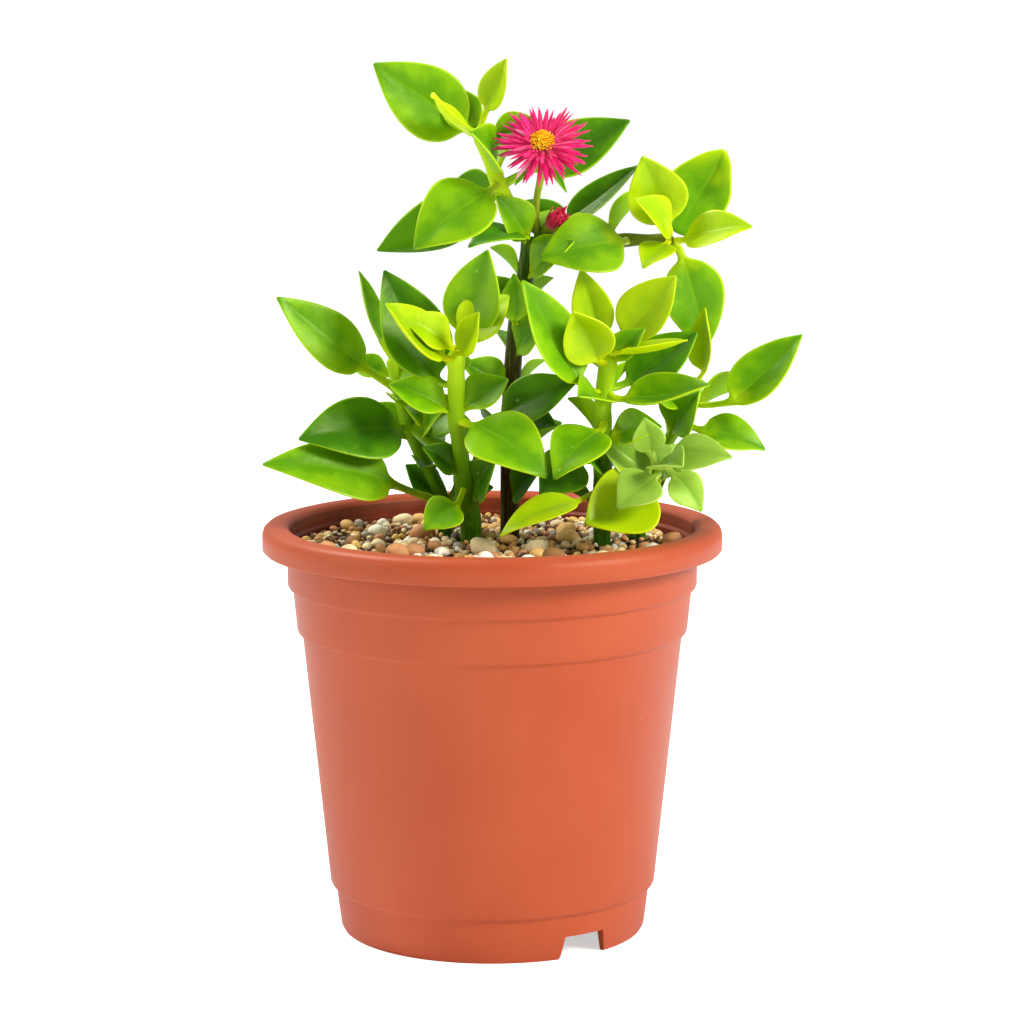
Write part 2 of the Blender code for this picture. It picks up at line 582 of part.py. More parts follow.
def main():
    clear_scene()
    add_pot()
    main_shoot()
    top_left_shoot()
    flower()
    right_shoot()
    front_right_shoot()
    far_right_shoot()
    low_right_shoot()
    front_left_shoot()
    back_left_shoot()
    feet = feet_cutter()
    add_potting_mix(feet)
    add_gravel(feet)


main()
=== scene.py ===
# %% [markdown]
# # A potted ice plant
# The real thing is a young ice plant, also sold as baby sun rose: fleshy opposite leaves on juicy stems, and
# one open flower of hot pink needle petals. It grows in a moulded plastic nursery pot, in a gritty mix that is
# topped with pebbles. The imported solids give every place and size, and this notebook grows the fine surfaces
# on them: rounded walls, thin leaf margins, single petals and single pebbles.

# %% The libraries and the fixed frame
import json
import math
import random

import bmesh
import bpy
import numpy
from mathutils import Matrix, Vector, noise


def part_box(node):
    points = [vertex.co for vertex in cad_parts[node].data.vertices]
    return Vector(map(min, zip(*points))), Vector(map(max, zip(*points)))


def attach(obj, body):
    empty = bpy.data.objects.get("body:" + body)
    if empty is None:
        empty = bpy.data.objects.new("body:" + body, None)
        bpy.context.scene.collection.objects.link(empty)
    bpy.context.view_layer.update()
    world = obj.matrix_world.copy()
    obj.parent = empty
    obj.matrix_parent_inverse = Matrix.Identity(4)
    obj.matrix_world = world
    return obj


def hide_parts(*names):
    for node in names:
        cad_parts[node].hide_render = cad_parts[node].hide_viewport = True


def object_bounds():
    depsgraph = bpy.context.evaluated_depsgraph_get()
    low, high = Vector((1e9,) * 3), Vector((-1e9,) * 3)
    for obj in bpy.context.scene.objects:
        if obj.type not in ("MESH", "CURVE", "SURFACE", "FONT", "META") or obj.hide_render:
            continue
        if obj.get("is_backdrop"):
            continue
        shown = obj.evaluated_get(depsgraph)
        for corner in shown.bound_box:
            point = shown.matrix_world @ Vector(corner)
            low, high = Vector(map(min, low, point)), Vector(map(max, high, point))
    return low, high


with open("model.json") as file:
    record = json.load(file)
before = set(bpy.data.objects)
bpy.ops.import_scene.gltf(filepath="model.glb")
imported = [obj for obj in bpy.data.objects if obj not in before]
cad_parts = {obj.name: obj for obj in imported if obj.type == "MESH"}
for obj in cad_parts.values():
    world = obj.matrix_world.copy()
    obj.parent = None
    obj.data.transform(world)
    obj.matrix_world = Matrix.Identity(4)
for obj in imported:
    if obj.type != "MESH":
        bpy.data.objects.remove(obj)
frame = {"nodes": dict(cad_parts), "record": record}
cad_low, cad_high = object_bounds()
NODES = frame["nodes"]
MM = 0.001
print("solids:", len(NODES), " box in mm:", [round(side / MM, 1) for side in cad_high - cad_low])

# %% [markdown]
# ## Camera and studio
# A long lens keeps the pot's sides nearly straight. It stands a little above the rim and looks slightly down,
# so the rim is seen as a thin ellipse. Colour management is set to Standard, because the leaves are far more
# saturated than the default film-like transform lets them be.

# %% Camera
CAMERA_PLACE = (0.0045, -0.762, 0.214)
CAMERA_TILT = 81.23       # degrees up from straight down
LENS = 118.7              # on a 36 mm sensor

camera = bpy.data.objects.new("camera", bpy.data.cameras.new("camera"))
bpy.context.scene.collection.objects.link(camera)
camera.location = CAMERA_PLACE
camera.rotation_euler = (math.radians(CAMERA_TILT), 0.0, 0.0)
camera.data.lens = LENS
camera.data.sensor_width = 36.0
camera.data.clip_start = 0.01
camera.data.clip_end = 50.0
bpy.context.scene.camera = camera
bpy.context.scene.view_settings.view_transform = "Standard"
print("camera at", CAMERA_PLACE)

# %% [markdown]
# Every colour is written as the hex value a painter would pick on a screen. Blender's shaders count in linear
# light, so one function turns the one into the other. One more function adds a node and wires it up, and the
# materials below are all made with it. A Mix node that blends colours has its sockets by number: 0 is the factor,
# 6 and 7 are the two colours, and output 2 is the result.

# %% Colours and nodes
def linear(hex_colour):
    """The linear RGBA of a hex colour like "#C8603E"."""
    channels = [int(hex_colour[i:i + 2], 16) / 255 for i in (1, 3, 5)]
    return [c / 12.92 if c <= 0.04045 else ((c + 0.055) / 1.055) ** 2.4 for c in channels] + [1.0]


def add_node(tree, kind, sockets=None, stops=None, **settings):
    """Adds a node. sockets maps an input to a value, a hex colour or the output that feeds it, and stops are
    a colour ramp's (place, hex colour) pairs."""
    node = tree.nodes.new(kind)
    for name, value in settings.items():
        setattr(node, name, value)
    for name, value in (sockets or {}).items():
        if isinstance(value, bpy.types.NodeSocket):
            tree.links.new(value, node.inputs[name])
        else:
            node.inputs[name].default_value = linear(value) if isinstance(value, str) else value
    if stops:
        ramp = node.color_ramp
        while len(ramp.elements) < len(stops):
            ramp.elements.new(0.5)
        for element, (place, colour) in zip(ramp.elements, stops):
            element.position = place
            element.color = linear(colour)
    return node


def new_material(name):
    """A material, its tree and its shader."""
    material = bpy.data.materials.new(name)
    material.use_nodes = True
    tree = material.node_tree
    return material, tree, tree.nodes["Principled BSDF"]


# %% [markdown]
# The floor and the backdrop are one white surround. A big soft box on the right models the pot from light on
# the right to deeper on the left, a second one behind on the left puts the pale sheen on the leaves' tops, and
# the even white world fills the rest, as in a light tent. A lit tent looks brighter than it lights, so the
# world and the floor are whiter for the camera than for the plant, and a weak strip on the left lifts the shade.

# %% Studio
BACKDROP = 1.0            # how bright the tent looks behind the plant
FILL = 0.46               # and how much of that light it throws on the plant
FLOOR_GLOW = 0.55         # the floor is a lit white panel
SOFT_BOXES = [
    # name, place, aim, size in metres, watts
    ("key_box", (1.0, -0.6, 0.75), (0.0, 0.0, 0.09), 0.5, 19.0),
    ("sheen_box", (-0.55, 0.30, 0.95), (0.0, 0.0, 0.14), 0.4, 9.0),
    ("left_strip", (-1.1, -0.35, 0.35), (0.0, 0.0, 0.08), 0.3, 3.0),
]

world = bpy.data.worlds.new("white_tent")
bpy.context.scene.world = world
world.use_nodes = True
seen = add_node(world.node_tree, "ShaderNodeLightPath").outputs["Is Camera Ray"]
strength = add_node(world.node_tree, "ShaderNodeMapRange", {"Value": seen, "To Min": FILL, "To Max": BACKDROP})
world.node_tree.nodes["Background"].inputs["Color"].default_value = (1.0, 1.0, 1.0, 1.0)
world.node_tree.links.new(strength.outputs["Result"], world.node_tree.nodes["Background"].inputs["Strength"])

for name, place, aim, size, watts in SOFT_BOXES:
    data = bpy.data.lights.new(name, "AREA")
    data.shape = "DISK"
    data.size = size
    data.energy = watts
    box = bpy.data.objects.new(name, data)
    bpy.context.scene.collection.objects.link(box)
    box.location = place
    box.rotation_euler = (Vector(aim) - Vector(place)).to_track_quat("-Z", "Y").to_euler()

bm = bmesh.new()
bmesh.ops.create_grid(bm, x_segments=1, y_segments=1, size=6.0)
floor_mesh = bpy.data.meshes.new("floor")
bm.to_mesh(floor_mesh)
bm.free()
floor = bpy.data.objects.new("floor", floor_mesh)
bpy.context.scene.collection.objects.link(floor)
material, tree, shader = new_material("matt_white_board")
shader.inputs["Base Color"].default_value = linear("#FDFDFD")
shader.inputs["Roughness"].default_value = 0.9
shader.inputs["Specular IOR Level"].default_value = 0.1
shader.inputs["Emission Color"].default_value = (1.0, 1.0, 1.0, 1.0)
seen = add_node(tree, "ShaderNodeLightPath").outputs["Is Camera Ray"]
glow = add_node(tree, "ShaderNodeMath", {0: seen, 1: FLOOR_GLOW}, operation="MULTIPLY")
tree.links.new(glow.outputs[0], shader.inputs["Emission Strength"])
floor_mesh.materials.append(material)
floor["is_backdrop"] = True
print("studio:", len(SOFT_BOXES), "soft boxes")

# %% [markdown]
# ## What the solids say
# A piece of this notebook never guesses where it goes: it reads a solid. A leaf's solid has rows of ten points,
# and a stem's has rings of eight, so walking from one end along the edges gives the rows or rings in order.

# %% Reading the solids
RING = 8                  # points round a stem's solid
ROW = 10                  # points across a leaf's solid: five on each of its two sides


def merged_copy(node):
    """A bmesh copy of a solid's mesh, with its loose triangles joined."""
    bm = bmesh.new()
    bm.from_mesh(NODES[node].data)
    bmesh.ops.remove_doubles(bm, verts=bm.verts, dist=0.001 * MM)
    bm.verts.index_update()
    return bm


def middle_of(places):
    places = list(places)
    return sum(places, Vector()) / len(places)


def walk(bm, first):
    """Groups of vertices, each one edge further from the first group. A set has no order of its own, so every
    group is sorted by index, which makes each run give the same leaves."""
    groups = [sorted(first, key=lambda vert: vert.index)]
    seen = set(first)
    while len(seen) < len(bm.verts):
        reached = {edge.other_vert(vert) for vert in groups[-1] for edge in vert.link_edges} - seen
        seen |= reached
        groups.append(sorted(reached, key=lambda vert: vert.index))
    return groups


def end_ring(bm):
    """The points round one end of a stem: the end's triangles lie in one plane, so they dissolve to one face."""
    flat = bm.copy()
    bmesh.ops.dissolve_limit(flat, angle_limit=math.radians(0.5), verts=flat.verts, edges=flat.edges)
    rings = [face for face in flat.faces if len(face.verts) == RING]

    def uneven(face):
        centre = face.calc_center_median()
        reach = [(vert.co - centre).length for vert in face.verts]
        return max(reach) - min(reach)

    best = min(rings, key=uneven)
    corners = [vert.co.copy() for vert in best.verts]
    flat.free()
    return [min(bm.verts, key=lambda vert: (vert.co - corner).length) for corner in corners]


def stem_line(node):
    """A stem's centre line as (centre, radius) pairs, lowest or innermost end first."""
    bm = merged_copy(node)
    line = []
    for ring in walk(bm, end_ring(bm)):
        if len(ring) < RING - 1:      # the solid's flat end may have lost a few of its points
            continue
        centre = middle_of(vert.co for vert in ring)
        line.append((centre, sum((vert.co - centre).length for vert in ring) / len(ring)))
    bm.free()
    usual = sorted(radius for centre, radius in line)[len(line) // 2]
    line = [(centre, min(radius, usual * 1.3)) for centre, radius in line]
    return line if line[0][0].z < line[-1][0].z else line[::-1]


STEMS = {node: stem_line(node) for node in sorted(NODES) if node.endswith(("_stem", "_stalk"))}
for node, line in STEMS.items():
    print(f"{node}: {len(line)} rings, {line[0][1] / MM:.1f} to {line[-1][1] / MM:.1f} mm")

# %% [markdown]
# A leaf is kept as a line of ribs. Each rib has the midrib's place, half the leaf's width there, and how far the
# margin is folded up above the midrib. The side and up directions belong to the whole leaf.

# %% Ribs of a leaf
def leaf_ribs(node):
    """A leaf solid's ribs from stalk to tip as (midrib, half width, lift), with its side and up directions."""
    bm = merged_copy(node)
    points = list(bm.verts)

    def reach(vert):
        return sorted((other.co - vert.co).length for other in points)[ROW - 1]

    centre = min(points, key=reach)      # the tip is where ten points lie closest together
    tip = sorted(points, key=lambda vert: (vert.co - centre.co).length)[:ROW]
    rows = [[vert.co.copy() for vert in group] for group in walk(bm, tip)][::-1]
    bm.free()

    def ends(row):
        pairs = [(a, b) for a in row for b in row]
        return max(pairs, key=lambda pair: (pair[0] - pair[1]).length)

    widest = max(rows[1:-1], key=lambda row: (ends(row)[0] - ends(row)[1]).length)
    side = (ends(widest)[1] - ends(widest)[0]).normalized()

    def parts(row):
        row = sorted(row, key=lambda place: place.dot(side))
        middle = len(row) // 2
        return middle_of(row[:2]), middle_of(row[middle - 1:middle + 1]), middle_of(row[-2:])

    left, rib, right = parts(widest)
    up = ((left + right) / 2 - rib).normalized()
    ribs = []
    for row in rows:
        left, rib, right = parts(row)
        ribs.append((rib, (right - left).dot(side) / 2, ((left + right) / 2 - rib).dot(up)))
    return ribs, side, up


LEAVES = {node: leaf_ribs(node) for node in sorted(NODES) if "_leaf_" in node}
for node, (ribs, side, up) in LEAVES.items():
    if len(ribs) != 8:
        print("uneven rows:", node, len(ribs))
print("leaves read:", len(LEAVES))

# %% [markdown]
# Three small helpers finish a piece: one makes the mesh and hangs it on the frame, one runs a smooth curve
# through a few points, and one finds the place on the nearest stem, where a leaf stalk grows in.

# %% Helpers for every piece
def add_piece(name, bm, material, stands_for=(), smooth=True):
    """Turns a bmesh into a finished piece that rides on the frame's one body."""
    mesh = bpy.data.meshes.new(name)
    for face in bm.faces:
        face.smooth = smooth
    bm.to_mesh(mesh)
    bm.free()
    for each in material if isinstance(material, (list, tuple)) else [material]:
        mesh.materials.append(each)
    piece = bpy.data.objects.new(name, mesh)
    bpy.context.scene.collection.objects.link(piece)
    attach(piece, "root")
    if stands_for:
        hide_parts(*stands_for)
    return piece


def soften(piece, levels=1):
    modifier = piece.modifiers.new("rounding", "SUBSURF")
    modifier.levels = modifier.render_levels = levels


def curve_value(values, place):
    """The smooth curve through values (numbers or vectors) at place, counted in steps between them."""
    last = len(values) - 1
    step = min(int(place), last - 1)
    t = place - step
    before = values[step - 1] if step > 0 else values[0] * 2 - values[1]
    after = values[step + 2] if step + 2 <= last else values[last] * 2 - values[last - 1]
    start, end = values[step], values[step + 1]
    bend = (before * 2 - start * 5 + end * 4 - after) * t ** 2 + (start * 3 - before - end * 3 + after) * t ** 3
    return start + ((end - before) * t + bend) / 2


def nearest_on_stems(place):
    """The nearest point of all the stems' centre lines, and the stem's radius there."""
    return min(((centre, radius) for line in STEMS.values() for centre, radius in line),
               key=lambda point: (point[0] - place).length)


# %% [markdown]
# ## The pot
# The pot is injection moulded in one piece, so every surface is turned: one spin of its section makes it. The
# corners of the section are rounded by short runs of extra points, and the two water notches in the foot are cut
# by a pair of blocks. The inner wall gets its own finish, darker as painted shade and dusted with soil.

# %% The pot's section
pot_low, pot_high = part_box("pot")
RIM_RADIUS = (pot_high.x - pot_low.x) / 2 / MM
POT_HEIGHT = (pot_high.z - pot_low.z) / MM
OUTSIDE = [
    # radius, height, both in millimetres, from the rim's inner edge over the top and down to the ground
    (46.3, POT_HEIGHT - 1.3), (46.8, POT_HEIGHT - 0.4), (48.0, POT_HEIGHT), (50.3, POT_HEIGHT),
    (RIM_RADIUS - 1.1, POT_HEIGHT - 0.3), (RIM_RADIUS - 0.3, POT_HEIGHT - 1.1), (RIM_RADIUS, POT_HEIGHT - 2.2),
    (RIM_RADIUS, POT_HEIGHT - 5.4), (RIM_RADIUS - 0.5, POT_HEIGHT - 5.9),
    (RIM_RADIUS - 1.3, POT_HEIGHT - 5.8), (RIM_RADIUS - 1.4, POT_HEIGHT - 3.6),
    (46.9, POT_HEIGHT - 3.0), (46.8, 80.5), (46.6, 80.0), (45.75, 79.6), (45.6, 79.2),
    (44.7, 70.1), (44.5, 69.6), (43.7, 69.2), (43.5, 68.8),
    (37.5, 11.2), (37.2, 10.6), (36.3, 10.1), (36.2, 9.6), (35.1, 0.9), (34.6, 0.0),
]
UNDERSIDE = [(33.5, 0.0), (33.4, 0.5), (33.4, 5.6), (32.8, 6.0), (7.4, 6.0), (7.0, 5.6), (7.0, 0.4), (6.6, 0.0),
             (0.0, 0.0)]
INSIDE = [(0.0, 7.6), (34.0, 7.6), (34.8, 8.4), (35.9, 12.2), (42.1, 70.0), (43.2, 71.6), (44.1, 81.0),
          (45.3, 82.0), (45.4, POT_HEIGHT - 4.5), (46.3, POT_HEIGHT - 3.9)]
POT_SIDES = 144


def turned(section, sides):
    """A bmesh spun round Z from (radius, height) points in millimetres."""
    bm = bmesh.new()
    verts = [bm.verts.new((radius * MM, 0.0, height * MM)) for radius, height in section]
    edges = [bm.edges.new(pair) for pair in zip(verts, verts[1:])]
    bmesh.ops.spin(bm, geom=verts + edges, cent=(0, 0, 0), axis=(0, 0, 1), angle=math.tau, steps=sides,
                   use_merge=True)
    bmesh.ops.remove_doubles(bm, verts=bm.verts, dist=0.001 * MM)
    bmesh.ops.recalc_face_normals(bm, faces=bm.faces)
    return bm


bm = turned(INSIDE + OUTSIDE + UNDERSIDE, POT_SIDES)
# the inside below the rim takes the second finish, whose darker colours are painted shade
for face in bm.faces:
    place, normal = face.calc_center_median(), face.normal
    inward = place.xy.dot(normal.xy) < -0.2 * place.xy.length
    if (inward or normal.z > 0.7) and 7 * MM < place.z < (POT_HEIGHT - 1.6) * MM:
        face.material_index = 1
print("pot:", len(bm.faces), "faces")

# %% [markdown]
# The colour is moulded right through the plastic, a terracotta red that is a little cloudy where it cooled at
# different speeds. It is satin rather than shiny, because the mould was blasted to a fine grain.

# %% Terracotta-coloured polypropylene
def polypropylene(name, body, cloud, dust_and_shade):
    """Satin moulded polypropylene. The last argument is how much dark brown blotching is mixed in: soil dust, and
    on the inner wall painted shade.
    """
    material, tree, shader = new_material(name)
    where = add_node(tree, "ShaderNodeTexCoord").outputs["Object"]
    cloudy = add_node(tree, "ShaderNodeTexNoise", {"Vector": where, "Scale": 28.0, "Detail": 3.0,
                                                   "Roughness": 0.5}).outputs["Fac"]
    clouds = add_node(tree, "ShaderNodeMapRange", {"Value": cloudy, "From Min": 0.35, "From Max": 0.7})
    colour = add_node(tree, "ShaderNodeMix", {0: clouds.outputs["Result"], 6: body, 7: cloud},
                      data_type="RGBA").outputs[2]
    # flow lines: the melt ran up the wall, so they are stretched along Z, a millimetre or two apart
    run = add_node(tree, "ShaderNodeMapping", {"Vector": where, "Scale": (450.0, 450.0, 25.0)}).outputs[0]
    flow = add_node(tree, "ShaderNodeTexNoise", {"Vector": run, "Scale": 1.0, "Detail": 2.0}).outputs["Fac"]
    faint = add_node(tree, "ShaderNodeMapRange", {"Value": flow, "From Min": 0.55, "From Max": 0.8,
                                                  "To Max": 0.012})
    colour = add_node(tree, "ShaderNodeMix", {0: faint.outputs["Result"], 6: colour, 7: "#F2B08E"},
                      data_type="RGBA").outputs[2]
    # scuffs: pale rubbed spots where pots stand inside one another
    spots = add_node(tree, "ShaderNodeTexNoise", {"Vector": where, "Scale": 210.0, "Detail": 4.0,
                                                  "Roughness": 0.7}).outputs["Fac"]
    rubbed = add_node(tree, "ShaderNodeMapRange", {"Value": spots, "From Min": 0.70, "From Max": 0.78,
                                                   "To Max": 0.12})
    colour = add_node(tree, "ShaderNodeMix", {0: rubbed.outputs["Result"], 6: colour, 7: "#F0B79C"},
                      data_type="RGBA").outputs[2]
    # dark brown blotches: soil dust, and on the inner wall more of the painted shade
    if dust_and_shade:
        dust_and_shade_blotches = add_node(tree, "ShaderNodeTexNoise", {"Vector": where, "Scale": 160.0, "Detail": 6.0,
                                                       "Roughness": 0.75}).outputs["Fac"]
        dust_and_painted_light = add_node(tree, "ShaderNodeMapRange", {"Value": dust_and_shade_blotches, "From Min": 0.45, "From Max": 0.7,
                                                      "To Max": dust_and_shade})
        colour = add_node(tree, "ShaderNodeMix", {0: dust_and_painted_light.outputs["Result"], 6: colour, 7: "#4A2A18"},
                          data_type="RGBA").outputs[2]
    tree.links.new(colour, shader.inputs["Base Color"])
    gloss = add_node(tree, "ShaderNodeMapRange", {"Value": cloudy, "From Min": 0.3, "From Max": 0.7,
                                                  "To Min": 0.42, "To Max": 0.54})
    tree.links.new(gloss.outputs["Result"], shader.inputs["Roughness"])
    shader.inputs["IOR"].default_value = 1.49
    shader.inputs["Specular IOR Level"].default_value = 0.4
    shader.inputs["Specular Tint"].default_value = linear("#FFDCBE")
    # the blasted mould's grain is about 0.15 mm; it is drawn at 0.5 mm so that it shows
    grain = add_node(tree, "ShaderNodeTexNoise", {"Vector": where, "Scale": 2000.0, "Detail": 1.0})
    dents = add_node(tree, "ShaderNodeBump", {"Height": grain.outputs["Fac"], "Strength": 0.10,
                                              "Distance": 0.1 * MM})
    waves = add_node(tree, "ShaderNodeBump", {"Height": cloudy, "Strength": 0.25, "Distance": 1.0 * MM,
                                              "Normal": dents.outputs["Normal"]})
    tree.links.new(waves.outputs["Normal"], shader.inputs["Normal"])
    return material


POT_OUTSIDE = polypropylene("satin_polypropylene", "#AB4727", "#B35130", 0.0)
# the inner wall: darker colours as painted shade inside the pot, with soil dust
POT_INSIDE = polypropylene("soiled_polypropylene", "#84301A", "#903C22", 0.6)

# %% The pot's notches and its drain holes
NOTCH_ANGLES = (-54.0, 126.0)
NOTCH_WIDTH = 10.5
NOTCH_HEIGHT = 5.3
NOTCH_SLOPE = 1.2
DRAIN_HOLES = 6
DRAIN_RADIUS = 3.0
DRAIN_CIRCLE = 21.0

cutters = bmesh.new()
for degrees in NOTCH_ANGLES:
    block = bmesh.ops.create_cube(cutters, size=1.0)["verts"]
    for vert in block:
        low = vert.co.z < 0
        vert.co = Vector((vert.co.x * 8, vert.co.y * (NOTCH_WIDTH + (2 * NOTCH_SLOPE if low else 0)),
                          -1.0 if low else NOTCH_HEIGHT)) * MM
    turn = Matrix.Rotation(math.radians(degrees), 4, "Z")
    bmesh.ops.transform(cutters, matrix=turn @ Matrix.Translation((34.6 * MM, 0, 0)), verts=block)
for hole in range(DRAIN_HOLES):
    angle = math.tau * hole / DRAIN_HOLES
    place = Vector((math.cos(angle), math.sin(angle), 0.0)) * DRAIN_CIRCLE * MM + Vector((0, 0, 6.5 * MM))
    bmesh.ops.create_cone(cutters, cap_ends=True, segments=32, radius1=DRAIN_RADIUS * MM,
                          radius2=DRAIN_RADIUS * MM, depth=6 * MM, matrix=Matrix.Translation(place))
cutter_mesh = bpy.data.meshes.new("cutters")
cutters.to_mesh(cutter_mesh)
cutters.free()
cutter = bpy.data.objects.new("cutters", cutter_mesh)
bpy.context.scene.collection.objects.link(cutter)
uncut_mesh = bpy.data.meshes.new("uncut_pot")
bm.to_mesh(uncut_mesh)
bm.free()
for plastic in (POT_OUTSIDE, POT_INSIDE):        # the cut keeps the faces' finishes only if both are there
    uncut_mesh.materials.append(plastic)
uncut = bpy.data.objects.new("uncut_pot", uncut_mesh)
bpy.context.scene.collection.objects.link(uncut)
difference = uncut.modifiers.new("cut", "BOOLEAN")
difference.object = cutter
difference.operation = "DIFFERENCE"
bpy.context.view_layer.update()
bm = bmesh.new()
bm.from_object(uncut, bpy.context.evaluated_depsgraph_get())
bpy.data.objects.remove(uncut)
bpy.data.objects.remove(cutter)
pot = add_piece("pot_body", bm, [POT_OUTSIDE, POT_INSIDE], ["pot"])
pot.data.set_sharp_from_angle(angle=math.radians(50))
print("pot cut:", len(pot.data.polygons), "faces")

# %% [markdown]
# ## Potting mix and pebbles
# Under the pebbles lies a dark, crumbly mix. It shows between the stones and round the stems, where the
# pebbles were pushed aside. A turned disc with many rings is lifted here and there by noise.

# %% Dark potting mix
def earth(name):
    """Peat and bark crumbs: matt, dark brown, with pale flecks of grit and rusty flecks of bark."""
    material, tree, shader = new_material(name)
    where = add_node(tree, "ShaderNodeTexCoord").outputs["Object"]
    crumbs = add_node(tree, "ShaderNodeTexVoronoi", {"Vector": where, "Scale": 800.0, "Randomness": 1.0})
    tint = add_node(tree, "ShaderNodeSeparateColor", {"Color": crumbs.outputs["Color"]}).outputs[0]
    colour = add_node(tree, "ShaderNodeValToRGB", {"Fac": tint}, stops=[
        (0.0, "#1E140D"), (0.45, "#38261A"), (0.7, "#5A3B24"), (0.88, "#8A5F3C"), (1.0, "#C9A36E")])
    tree.links.new(colour.outputs["Color"], shader.inputs["Base Color"])
    shader.inputs["Roughness"].default_value = 0.95
    shader.inputs["Specular IOR Level"].default_value = 0.2
    lumps = add_node(tree, "ShaderNodeBump", {"Height": crumbs.outputs["Distance"], "Strength": 0.9,
                                              "Distance": 0.8 * MM})
    tree.links.new(lumps.outputs["Normal"], shader.inputs["Normal"])
    return material


EARTH = earth("peat_and_bark")
gravel_low, gravel_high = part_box("gravel_layer")
GRAVEL_RADIUS = (gravel_high.x - gravel_low.x) / 2 / MM
GRAVEL_TOP = gravel_high.z / MM
FEET = [(line[0][0].xy / MM, line[0][1] / MM) for node, line in STEMS.items()
        if line[0][0].z < gravel_low.z]


def ground_height(x, y):
    """The potting mix's own height under the pebbles, in millimetres: lumpy, and heaped round the stems."""
    height = GRAVEL_TOP - 2.6 + 0.9 * noise.noise(Vector((x, y, 0)) * 0.16)
    height += 0.5 * noise.noise(Vector((x, y, 5)) * 0.6)
    for foot, radius in FEET:
        height += 1.6 * math.exp(-((Vector((x, y)) - foot).length / (radius + 3.0)) ** 2)
    return height


RINGS = 40
MIX_TOP = 87.0            # a first, flat height in millimetres; the mound is raised from it
WALL_GAP = 0.5            # the mix stands this far off the pot's wall, in millimetres
wall = [(max(radius - WALL_GAP, 0.0), height + 0.3) for radius, height in INSIDE if height < MIX_TOP - 2.0]
surface = [(GRAVEL_RADIUS * (1 - ring / RINGS), MIX_TOP) for ring in range(RINGS + 1)]
bm = turned(wall + surface, 160)
for vert in bm.verts:
    if vert.co.z > (MIX_TOP - 1.0) * MM:
        vert.co.z = ground_height(vert.co.x / MM, vert.co.y / MM) * MM
add_piece("mix_surface", bm, EARTH, ["potting_mix"])
print("stems planted:", len(FEET))

# %% [markdown]
# The pebbles are washed river grit of mixed stone: cream quartz, yellow and pink-brown sandstone, a few almost
# white ones, and dark chips of bark. Each one is a small squashed ball. The large ones are laid first, along a
# spiral that spreads them evenly, and the small ones are dropped at seeded random places in what is left.
# A ball of forty faces is enough at this size. The big ones get more faces and a lumpier shape.

# %% Pebbles
STONE_TINTS = {"cream": 0.05, "yellow": 0.25, "pink": 0.45, "tan": 0.65, "dark": 0.85, "white": 0.95}


def river_stone(name):
    """Dry water-worn stone. Each stone's own tint picks its colour, and fine noise makes it mottled."""
    material, tree, shader = new_material(name)
    where = add_node(tree, "ShaderNodeTexCoord").outputs["Object"]
    tint = add_node(tree, "ShaderNodeAttribute", attribute_name="tint").outputs["Fac"]
    colour = add_node(tree, "ShaderNodeValToRGB", {"Fac": tint}, stops=[
        (0.0, "#FCEAC0"), (0.2, "#F0C46A"), (0.38, "#D49264"), (0.55, "#C48C4A"), (0.76, "#56351A"),
        (0.92, "#FFF6DE")]).outputs["Color"]
    speckle = add_node(tree, "ShaderNodeTexNoise", {"Vector": where, "Scale": 1100.0, "Detail": 4.0,
                                                    "Roughness": 0.7}).outputs["Fac"]
    shade = add_node(tree, "ShaderNodeMapRange", {"Value": speckle, "From Min": 0.42, "From Max": 0.68,
                                                  "To Max": 0.30})
    colour = add_node(tree, "ShaderNodeMix", {0: shade.outputs["Result"], 6: colour, 7: "#7A5230"},
                      data_type="RGBA").outputs[2]
    tree.links.new(colour, shader.inputs["Base Color"])
    shader.inputs["Roughness"].default_value = 0.62
    shader.inputs["Specular IOR Level"].default_value = 0.35
    pits = add_node(tree, "ShaderNodeBump", {"Height": speckle, "Strength": 0.5, "Distance": 0.2 * MM})
    tree.links.new(pits.outputs["Normal"], shader.inputs["Normal"])
    return material


STONE = river_stone("river_grit")


def add_stone(bm, layer, place, size, flatness, turn, tint, fine=False):
    """One pebble as a squashed, slightly lumpy ball. Sizes are in millimetres."""
    shape = Matrix.Diagonal((*(Vector((size, size * 0.8, size * flatness)) / 2 * MM), 1.0))
    at = Matrix.Translation(place * MM) @ turn.to_matrix().to_4x4() @ shape
    made = bmesh.ops.create_uvsphere(bm, u_segments=14 if fine else 8, v_segments=9 if fine else 5, radius=1.0,
                                     matrix=at)["verts"]
    centre = place * MM
    for vert in made:
        bump = noise.noise((vert.co - centre) / (size * MM) * 1.7 + place)
        vert.co = centre + (vert.co - centre) * (1.0 + 0.28 * bump)
        vert[layer] = tint


def heap(stones):
    """One bmesh of many pebbles. They are made in small lots, because adding to a big bmesh is slow."""
    whole = bmesh.new()
    whole.verts.layers.float.new("tint")
    lot_mesh = bpy.data.meshes.new("lot")
    for start in range(0, len(stones), LOT):
        lot = bmesh.new()
        layer = lot.verts.layers.float.new("tint")
        for stone in stones[start:start + LOT]:
            add_stone(lot, layer, *stone)
        lot.to_mesh(lot_mesh)
        lot.free()
        whole.from_mesh(lot_mesh)
    bpy.data.meshes.remove(lot_mesh)
    return whole


LOT = 40
draw = random.Random(41)
laid = []


def free_place(x, y, size, close):
    """True if a pebble there is inside the pot, off the stems and not on another."""
    spot = Vector((x, y))
    if spot.length > GRAVEL_RADIUS - size * 0.5:
        return False
    if any((spot - foot).length < radius + size * 0.5 + 0.6 for foot, radius in FEET):
        return False
    return all((spot - other).length > (size + other_size) * close for other, other_size in laid)


